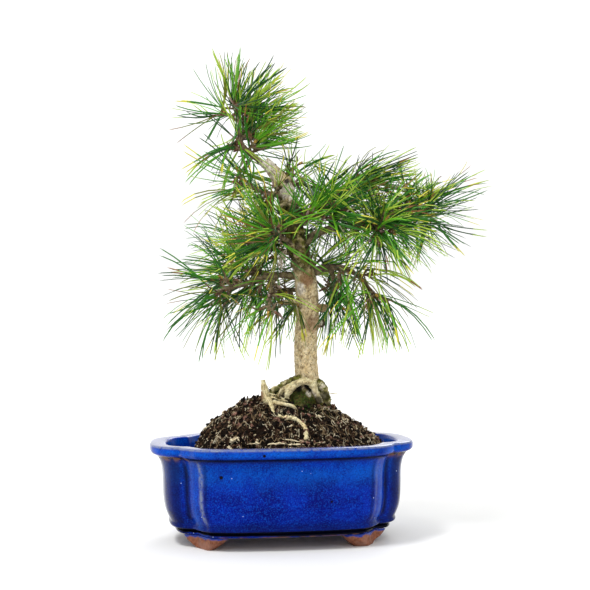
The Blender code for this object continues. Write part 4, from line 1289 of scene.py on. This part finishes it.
def make_moss(sites, materials):
    """Short tufts that stand out of the mossy bark and soil."""
    rule = random.Random(MOSS_SEED)
    chosen = rule.sample(sites, min(MOSS_COUNT, len(sites))) + soil_moss(rule)
    shapes = Shapes()
    for place, outward, vivid in chosen:
        finish = rule.choices(range(len(materials)), (50, 42, 8) if vivid > 0.5 else (24, 34, 42))[0]
        direction = (outward.normalized() + any_direction(rule) * 0.8).normalized()
        side = direction.orthogonal().normalized() * rule.uniform(0.2, 0.38)
        back = direction.cross(side)
        root = place - outward * 0.3
        tip = root + direction * rule.uniform(1.0, 2.3)
        shapes.add([root - side, root + side, root + back, tip], ((0, 1, 3), (1, 2, 3), (2, 0, 3)), finish)
    make_piece("moss_tufts", shapes.mesh("moss_tufts", smooth=False), materials)


# Foliage

def trunk_path():
    return smooth_path([station[:3] for station in TRUNK_STATIONS])


def limb_samples(limbs):
    """Points and radii along every limb, close enough together to test a twig's tip against."""
    trunk_radii = [row.x for row in smooth_path([(station[3], 0, 0) for station in TRUNK_STATIONS])]
    samples = list(zip(trunk_path(), trunk_radii))
    for limb in limbs.values():
        path = smooth_path(limb.points, steps=6)
        samples += list(zip(path, taper(limb.radii, len(path))))
    return samples


def clear_of_limbs(point, samples, margin):
    return all((point - place).length > radius + margin for place, radius in samples)


def mass_start(mass, limbs):
    """The point of the parent's path nearest to the mass: a bough's end, or the side of a limb."""
    path = trunk_path() if mass.parent == "trunk" else smooth_path(limbs[mass.parent].points)
    return min(path, key=lambda point: (point - Vector(mass.tip)).length)


def root_radius(mass, limbs):
    """A stem that carries a bough on has the bough's radius, and one from a limb's side is slimmer."""
    limb = limbs.get(mass.parent)
    carries_on = limb and (mass_start(mass, limbs) - Vector(limb.points[-1])).length < GAP
    return limb.radii[1] * BOUGH_SLIMNESS if carries_on else TUFT_RADIUS


def stem_twigs(mass, start, end, samples):
    """Twigs that leave the mass's stem by the golden angle, as foot and tip."""
    rule = random.Random(mass.seed)
    heading = (end - start).normalized()
    stretch = min((end - start).length * 0.6, STEM_ZONE * 1.3)
    turn = rule.uniform(0, math.tau)
    twigs = []
    for index in range(mass.twigs):
        foot = end - heading * stretch * (1 - index / mass.twigs)
        direction = turned(heading, TWIG_SPREAD, turn + index * GOLDEN_ANGLE)
        tip = foot + direction * mass.twig_length * rule.uniform(0.85, 1.15)
        if clear_of_limbs(tip, samples, 2 * LIMB_MARGIN):
            twigs.append((foot, tip))
    return twigs


def bough_twigs(mass, limbs, heading, rule):
    """Short twigs that leave the mass's bough below its end. A mass on the trunk has none."""
    if mass.parent == "trunk":
        return []
    path = smooth_path(limbs[mass.parent].points, 6)
    twigs = []
    for share in SIDE_SHOOTS:
        foot = path[round(share * (len(path) - 1))]
        direction = turned(heading, TWIG_SPREAD, rule.uniform(0, math.tau))
        twigs.append((foot, foot + direction * SIDE_LENGTH * rule.uniform(0.8, 1.3)))
    return twigs


def mass_shoots(mass, limbs, samples):
    """The stem, the twigs on it and on its bough, and finer twigs that fork from those."""
    start = mass_start(mass, limbs)
    end = Vector(mass.tip)
    zone = min(STEM_ZONE, (end - start).length * ZONE_SHARE)
    shoots = [Shoot(start, end, (root_radius(mass, limbs), TWIG_RADIUS), zone, STEM_WEIGHT)]
    rule = random.Random(mass.seed + FORK_SEED)
    twigs = stem_twigs(mass, start, end, samples)
    twigs += bough_twigs(mass, limbs, (end - start).normalized(), rule)
    for foot, tip in twigs:
        zone = min(TWIG_ZONE, (tip - foot).length * ZONE_SHARE)
        shoots.append(Shoot(foot, tip, SIDE_TWIG_RADII, zone, SIDE_TWIG_WEIGHT))
        for share in FORK_PLACES:
            fork = foot.lerp(tip, share)
            direction = turned((tip - foot).normalized(), TWIG_SPREAD, rule.uniform(0, math.tau))
            fork_tip = fork + direction * mass.twig_length * FORK_LENGTH * rule.uniform(0.7, 1.1)
            if clear_of_limbs(fork_tip, samples, LIMB_MARGIN):
                shoots.append(Shoot(fork, fork_tip, FORK_RADII, TWIG_ZONE * 0.7, FORK_WEIGHT))
    return shoots


def add_needle(shapes, root, direction, side, length, bend, finish, tip_finish):
    """A three-sided needle that bends as it goes and narrows to its point, where its finish may change."""
    points = []
    centre = root
    across = side
    for share, following in zip(NEEDLE_STATIONS, NEEDLE_STATIONS[1:]):
        heading = (direction + bend * share).normalized()
        across = (across - heading * across.dot(heading)).normalized()
        above = heading.cross(across) * NEEDLE_THICKNESS * (1 - 0.5 * share)
        width = NEEDLE_WIDTH / 2 * (1 - 0.45 * share ** 4)
        points += [centre - across * width, centre + across * width, centre + above]
        centre = centre + heading * length * (following - share)
    points.append(centre)
    faces = [(0, 2, 1)]
    last = (len(NEEDLE_STATIONS) - 2) * 3
    for first in range(0, last, 3):
        faces += [(first + corner, first + (corner + 1) % 3, first + 3 + (corner + 1) % 3, first + 3 + corner)
                  for corner in range(3)]
    faces += [(last, last + 1, last + 3), (last + 1, last + 2, last + 3), (last + 2, last, last + 3)]
    added = len(shapes.finishes)
    shapes.add(points, faces, finish)
    shapes.finishes[added + len(faces) - 6:] = [tip_finish] * 6


def add_sheath(shapes, root, direction, finish):
    """The papery sleeve that holds a pair of needles."""
    path = [root - direction * 0.8, root + direction * SHEATH_LENGTH]
    shapes.add_rings(tube_rings(path, (SHEATH_RADIUS, SHEATH_RADIUS * 0.8), 4), finish)


def within(point, low, high):
    return all(low[axis] <= point[axis] <= high[axis] for axis in range(3))


def mass_reach(mass):
    """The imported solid's box for this mass in millimetres round the pot, a little larger."""
    low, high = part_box(mass.name)
    margin = Vector((REACH_MARGIN,) * 3)
    return (low - POT_MIDDLE) / MM - margin, (high - POT_MIDDLE) / MM + margin


def in_trunk(points, trunk):
    return any((point - place).length < radius for point in points for place, radius in trunk)


def curve_of(root, direction, length, bend):
    """Where a needle passes at half and at all of its length."""
    middle = root + (direction + bend * 0.2).normalized() * length * 0.5
    return middle, middle + (direction + bend * 0.75).normalized() * length * 0.5


def add_pair(shapes, rule, root, direction, length, bend, finish, tip_finish):
    """Two needles out of one sheath."""
    side = turned(direction, math.pi / 2, rule.uniform(0, math.tau))
    add_sheath(shapes, root, direction, NEEDLE_FINISHES.index("sheath"))
    start = root + direction * (SHEATH_LENGTH - SHEATH_HOLD)
    blade = length - SHEATH_LENGTH + SHEATH_HOLD
    for hand in (-1, 1):
        spread = side * hand * math.tan(PAIR_SPREAD) * rule.uniform(0.3, 2.0)
        own_bend = bend + any_direction(rule) * 0.12 + side * hand * rule.uniform(-0.1, 0.15)
        add_needle(shapes, start + side * hand * 0.3, (direction + spread).normalized(),
                   direction.cross(side) * hand, blade * rule.uniform(0.93, 1.0), own_bend,
                   NEEDLE_FINISHES.index(finish), NEEDLE_FINISHES.index(tip_finish))


def pair_course(mass, shoot, axis, index, turn, sway, combed, rule):
    """Where one pair of a spray starts, which way it heads, how long it is and how it bends."""
    share = ((index + 0.5) * GOLDEN_SHARE) % 1
    root = shoot.end - axis * shoot.zone * (1 - share)
    lean = math.radians(88 - 70 * share + rule.uniform(-22, 22))
    direction = turned(axis, lean, turn + index * GOLDEN_ANGLE + rule.uniform(-0.4, 0.4))
    direction = (direction + combed * rule.uniform(0.3, 1.5)).normalized()
    root = root + direction * shoot.radius[1] * 0.8
    length = NEEDLE_LENGTH * mass.stretch * (0.62 + 0.44 * math.sqrt(rule.random()))
    droop = Vector((0, 0, -0.16 + 0.9 * min(0.0, combed.z)))
    bend = axis * rule.uniform(-0.05, 0.35) + droop + sway + combed * 0.3 + any_direction(rule) * 0.34
    return root, direction, length, bend


def any_kind(rule):
    return rule.choices(list(SPRAY_KINDS), list(SPRAY_KINDS.values()))[0]


def pair_kinds(rule, own_kind):
    """The colours of a pair and of its tips. Most pairs have their spray's own colour."""
    kind = own_kind if rule.random() < OWN_COLOUR_SHARE else any_kind(rule)
    tip_kind = rule.choices(list(NEEDLE_TIPS), list(NEEDLE_TIPS.values()))[0]
    if rule.random() < STRAW_SHARE:
        return "straw", "straw"
    return kind, kind if tip_kind == "own" else tip_kind


def add_spray(shapes, mass, shoot, count, rule, reach, trunk):
    """Needle pairs that spiral up the end of a shoot, kept under the ceiling, in reach and off the trunk."""
    own_kind = any_kind(rule)
    axis = (shoot.end - shoot.start).normalized()
    combed = Vector(mass.combed) + Vector((0, 0, mass.lift))
    ceiling = mass.ceiling or reach[1].z
    sway = any_direction(rule) * 0.42
    turn = rule.uniform(0, math.tau)
    for index in range(count):
        root, direction, length, bend = pair_course(mass, shoot, axis, index, turn, sway, combed, rule)
        middle, end = curve_of(root, direction, length, bend)
        if end.z > ceiling + rule.uniform(-8, 6):
            direction = Vector((direction.x, direction.y, direction.z * 0.3)).normalized()
            bend.z = min(bend.z, 0.0)
            middle, end = curve_of(root, direction, length, bend)
        if not within(end, *reach):
            length *= 0.8
            middle, end = curve_of(root, direction, length, bend)
        if not within(end, *reach) or end.z > ceiling + CEILING_MARGIN or in_trunk((middle, end), trunk):
            continue
        add_pair(shapes, rule, root, direction, length, bend, *pair_kinds(rule, own_kind))


def make_needles(mass, shoots, materials, trunk):
    rule = random.Random(mass.seed + NEEDLE_SEED)
    shapes = Shapes()
    reach = mass_reach(mass)
    weight = sum(shoot.weight for shoot in shoots)
    fullness = SPRAY_FACTOR * mass.fullness
    for shoot in shoots:
        count = round(mass.pairs * fullness * shoot.weight / weight)
        add_spray(shapes, mass, shoot, count, rule, reach, trunk)
    name = mass.name.replace("needles_", "spray_")
    mesh = shapes.mesh(name, smooth=False)
    make_piece(name, mesh, materials, [mass.name])


def add_bud(shapes, shoot, rule, finish):
    """A pointed bud of overlapping scales on the end of a shoot."""
    axis = (shoot.end - shoot.start).normalized()
    length = rule.uniform(4.5, 7.5) * min(1.0, 0.5 + shoot.weight / 3)
    radius = 1.0 * min(1.0, 0.55 + shoot.weight / 3)
    base = shoot.end - axis * 1.0
    path = [base + axis * length * along for along, width in BUD_PROFILE]
    shapes.add_rings(tube_rings(path, [radius * width for along, width in BUD_PROFILE], 7), finish)
    for index in range(BUD_SCALES):
        share = index / BUD_SCALES
        middle = base + axis * length * 0.7 * share
        outward = turned(axis, math.radians(62 - 25 * share), index * GOLDEN_ANGLE)
        sideways = outward.cross(axis).normalized()
        root = middle + outward * radius * 0.75
        width = sideways * radius * 0.55
        tip = root + (outward * 0.45 + axis).normalized() * radius * 1.7
        lift = outward * 0.18
        points = [root - width, root + width, tip, root + lift + axis * radius * 0.4]
        shapes.add(points, SCALE_FACES, finish)


def make_twigs(all_shoots, bark, bud_materials):
    """Stems and twigs in one piece, their buds in another."""
    rule = random.Random(BUD_SEED)
    twigs = Shapes()
    buds = Shapes()
    marks = []
    for shoots in all_shoots.values():
        for shoot in shoots:
            length = (shoot.end - shoot.start).length
            path = smooth_path((shoot.start, shoot.end), max(4, round(length / 1.2)))
            rings = tube_rings(path, taper(shoot.radius, len(path)), 10)
            add_bark_tube(twigs, marks, rings, 0.25, no_moss)
            if shoot.weight > FORK_WEIGHT:
                add_bud(buds, shoot, rule, rule.randrange(len(bud_materials)))
    bark_piece("twig_bark", twigs, marks, [bark], [mass.name for mass in MASSES])
    make_piece("shoot_buds", buds.mesh("shoot_buds"), bud_materials)


def make_cone(material):
    """An old cone on a short stem, its scales set by the golden angle."""
    shapes = Shapes()
    stem = smooth_path(CONE_STEM, 4)
    shapes.add_rings(tube_rings(stem, taper((1.1, 0.9), len(stem)), 8))
    middle = Vector(CONE_PLACE)
    axis = Vector((0.9, -0.25, -0.35)).normalized()
    path = [middle + axis * along for along, width in CONE_PROFILE]
    shapes.add_rings(tube_rings(path, [width for along, width in CONE_PROFILE], 14))
    for index in range(CONE_SCALES):
        along = -5.5 + 10.5 * (index / CONE_SCALES)
        radius = 3.3 * math.sqrt(max(0.05, 1 - (along / 6.2) ** 2))
        outward = turned(axis, math.radians(75), index * GOLDEN_ANGLE)
        sideways = outward.cross(axis).normalized()
        root = middle + axis * along + outward * radius * 0.7
        tip = root + (outward * 0.8 + axis * 0.6).normalized() * 2.2
        ridge = root + outward * 1.1 + axis * 0.2
        points = [root - sideways * 0.9, root + sideways * 0.9, tip, ridge]
        shapes.add(points, SCALE_FACES)
    make_piece("old_cone", shapes.mesh("old_cone"), [material])


def make_dried_twig(material):
    """A dead twig, and a bunch of dead needles that hangs on the trunk."""
    rule = random.Random(DEAD_NEEDLE_SEED)
    shapes = Shapes()
    for number in range(DEAD_NEEDLES):
        start = Vector(DEAD_NEEDLE_PLACE) + any_direction(rule) * 2.0
        direction = (Vector((-0.3, -0.2, -0.8)) + any_direction(rule) * 0.6).normalized()
        path = smooth_path((start, start + direction * 6, start + direction * 11 + Vector((0, 0, -2.5))), 3)
        shapes.add_rings(tube_rings(path, taper((0.5, 0.25), len(path)), 4))
    points, radii = DRIED_TWIG
    path = smooth_path(points, 6)
    shapes.add_rings(tube_rings(path, taper(radii, len(path)), 8))
    make_piece("dried_twig", shapes.mesh("dried_twig"), [material])


def make_foliage(limbs, bark, bud_materials):
    samples = limb_samples(limbs)
    trunk = samples[:len(trunk_path())]
    needle_materials = [needle_material("needle_" + kind, NEEDLE_COLOURS[kind]) for kind in NEEDLE_FINISHES]
    all_shoots = {mass.name: mass_shoots(mass, limbs, samples) for mass in MASSES}
    for mass in MASSES:
        make_needles(mass, all_shoots[mass.name], needle_materials, trunk)
    make_twigs(all_shoots, bark, bud_materials)


# Camera, lights and floor

def add_camera():
    camera = bpy.data.objects.new("camera", bpy.data.cameras.new("camera"))
    camera.data.lens = LENS
    camera.data.sensor_width = SENSOR
    camera.data.sensor_fit = "HORIZONTAL"
    camera.data.clip_start = 0.05
    camera.location = POT_MIDDLE + Vector(CAMERA_PLACE) * MM
    level = math.cos(CAMERA_TILT)
    forward = Vector((math.sin(CAMERA_AZIMUTH) * level, math.cos(CAMERA_AZIMUTH) * level,
                      math.sin(CAMERA_TILT)))
    turn = forward.to_track_quat("-Z", "Y").to_matrix().to_4x4()
    camera.matrix_world = (Matrix.Translation(camera.location) @ turn
                           @ Matrix.Rotation(-CAMERA_ROLL, 4, "Z"))
    bpy.context.scene.collection.objects.link(camera)
    bpy.context.scene.camera = camera


def add_light(name, place, target, size, power):
    light = bpy.data.objects.new(name, bpy.data.lights.new(name, "AREA"))
    light.data.shape = "DISK"
    light.data.size = size
    light.data.energy = power
    light.location = Vector(place)
    light.rotation_euler = (Vector(target) - Vector(place)).to_track_quat("-Z", "Y").to_euler()
    bpy.context.scene.collection.objects.link(light)


def floor_material():
    """A pale floor that glows more and more as it sweeps up, so that it meets the white of the room."""
    material, tree, shader = new_material("pale_floor", 0.8, 0.1)
    colour = mottled(tree, (60, 3.0), (0.3, 0.7), (0.81, 0.81, 0.805), (0.82, 0.82, 0.815))
    tree.links.new(colour, shader.inputs["Base Color"])
    height = add_node(tree, "SeparateXYZ", {"Vector": place_of(tree)}).outputs["Z"]
    shader.inputs["Emission Color"].default_value = (1.0, 1.0, 1.0, 1.0)
    tree.links.new(remap(tree, height, 0.0, 0.9, 0.0, FLOOR_GLOW), shader.inputs["Emission Strength"])
    return material


def add_floor():
    """A wide pale floor whose edge sweeps up all round."""
    points = []
    faces = [list(range(FLOOR_SIDES))]
    for step in range(FLOOR_STEPS + 1):
        beyond = (FLOOR_RADIUS - FLOOR_FLAT) * step / FLOOR_STEPS
        reach = FLOOR_FLAT + beyond
        height = FLOOR_SWEEP * beyond * beyond
        for side in range(FLOOR_SIDES):
            turn = math.tau * side / FLOOR_SIDES
            points.append((reach * math.cos(turn), reach * math.sin(turn), height))
            if step:
                row = step * FLOOR_SIDES
                before = row - FLOOR_SIDES
                following = (side + 1) % FLOOR_SIDES
                faces.append((before + side, row + side, row + following, before + following))
    mesh = bpy.data.meshes.new("floor")
    mesh.from_pydata(points, [], faces)
    mesh.polygons.foreach_set("use_smooth", [True] * len(faces))
    mesh.materials.append(floor_material())
    floor = bpy.data.objects.new("floor", mesh)
    bpy.context.scene.collection.objects.link(floor)


def add_room():
    world = bpy.data.worlds.new("studio")
    world.use_nodes = True
    tree = world.node_tree
    background = tree.nodes["Background"]
    background.inputs["Color"].default_value = (1.0, 1.0, 1.0, 1.0)
    background.inputs["Strength"].default_value = 1.0
    bpy.context.scene.world = world
    bpy.context.scene.view_settings.view_transform = "Standard"
    add_light("key_light", *KEY_LIGHT)
    add_light("back_light", *BACK_LIGHT)


# Whole plant

def crumb_materials(rows):
    return [crumb_material(*row) for row in rows]


def main():
    noise.seed_set(NOISE_SEED)
    limbs = {limb.name: limb for limb in BOUGHS + ROOTS}
    bark = bark_material(*PINE_BARK)
    bough_bark = bark_material(*SHADED_BOUGH_BARK)
    root_bark = bark_material(*ROOT_BARK)
    make_pot(glaze_material())
    make_feet(clay_material())
    make_soil(earth_material())
    make_chips(crumb_materials(SOIL_CRUMBS))
    make_fibres(crumb_materials(ROOTLETS))
    sites = make_trunk(bark)
    make_boughs(bough_bark)
    sites += make_roots(root_bark)
    make_moss(sites, crumb_materials(MOSSES))
    make_foliage(limbs, bough_bark, crumb_materials(BUDS))
    make_cone(crumb_material(*CONE_WOOD))
    make_dried_twig(crumb_material(*DRIED_WOOD))
    add_floor()
    add_room()
    add_camera()


main()
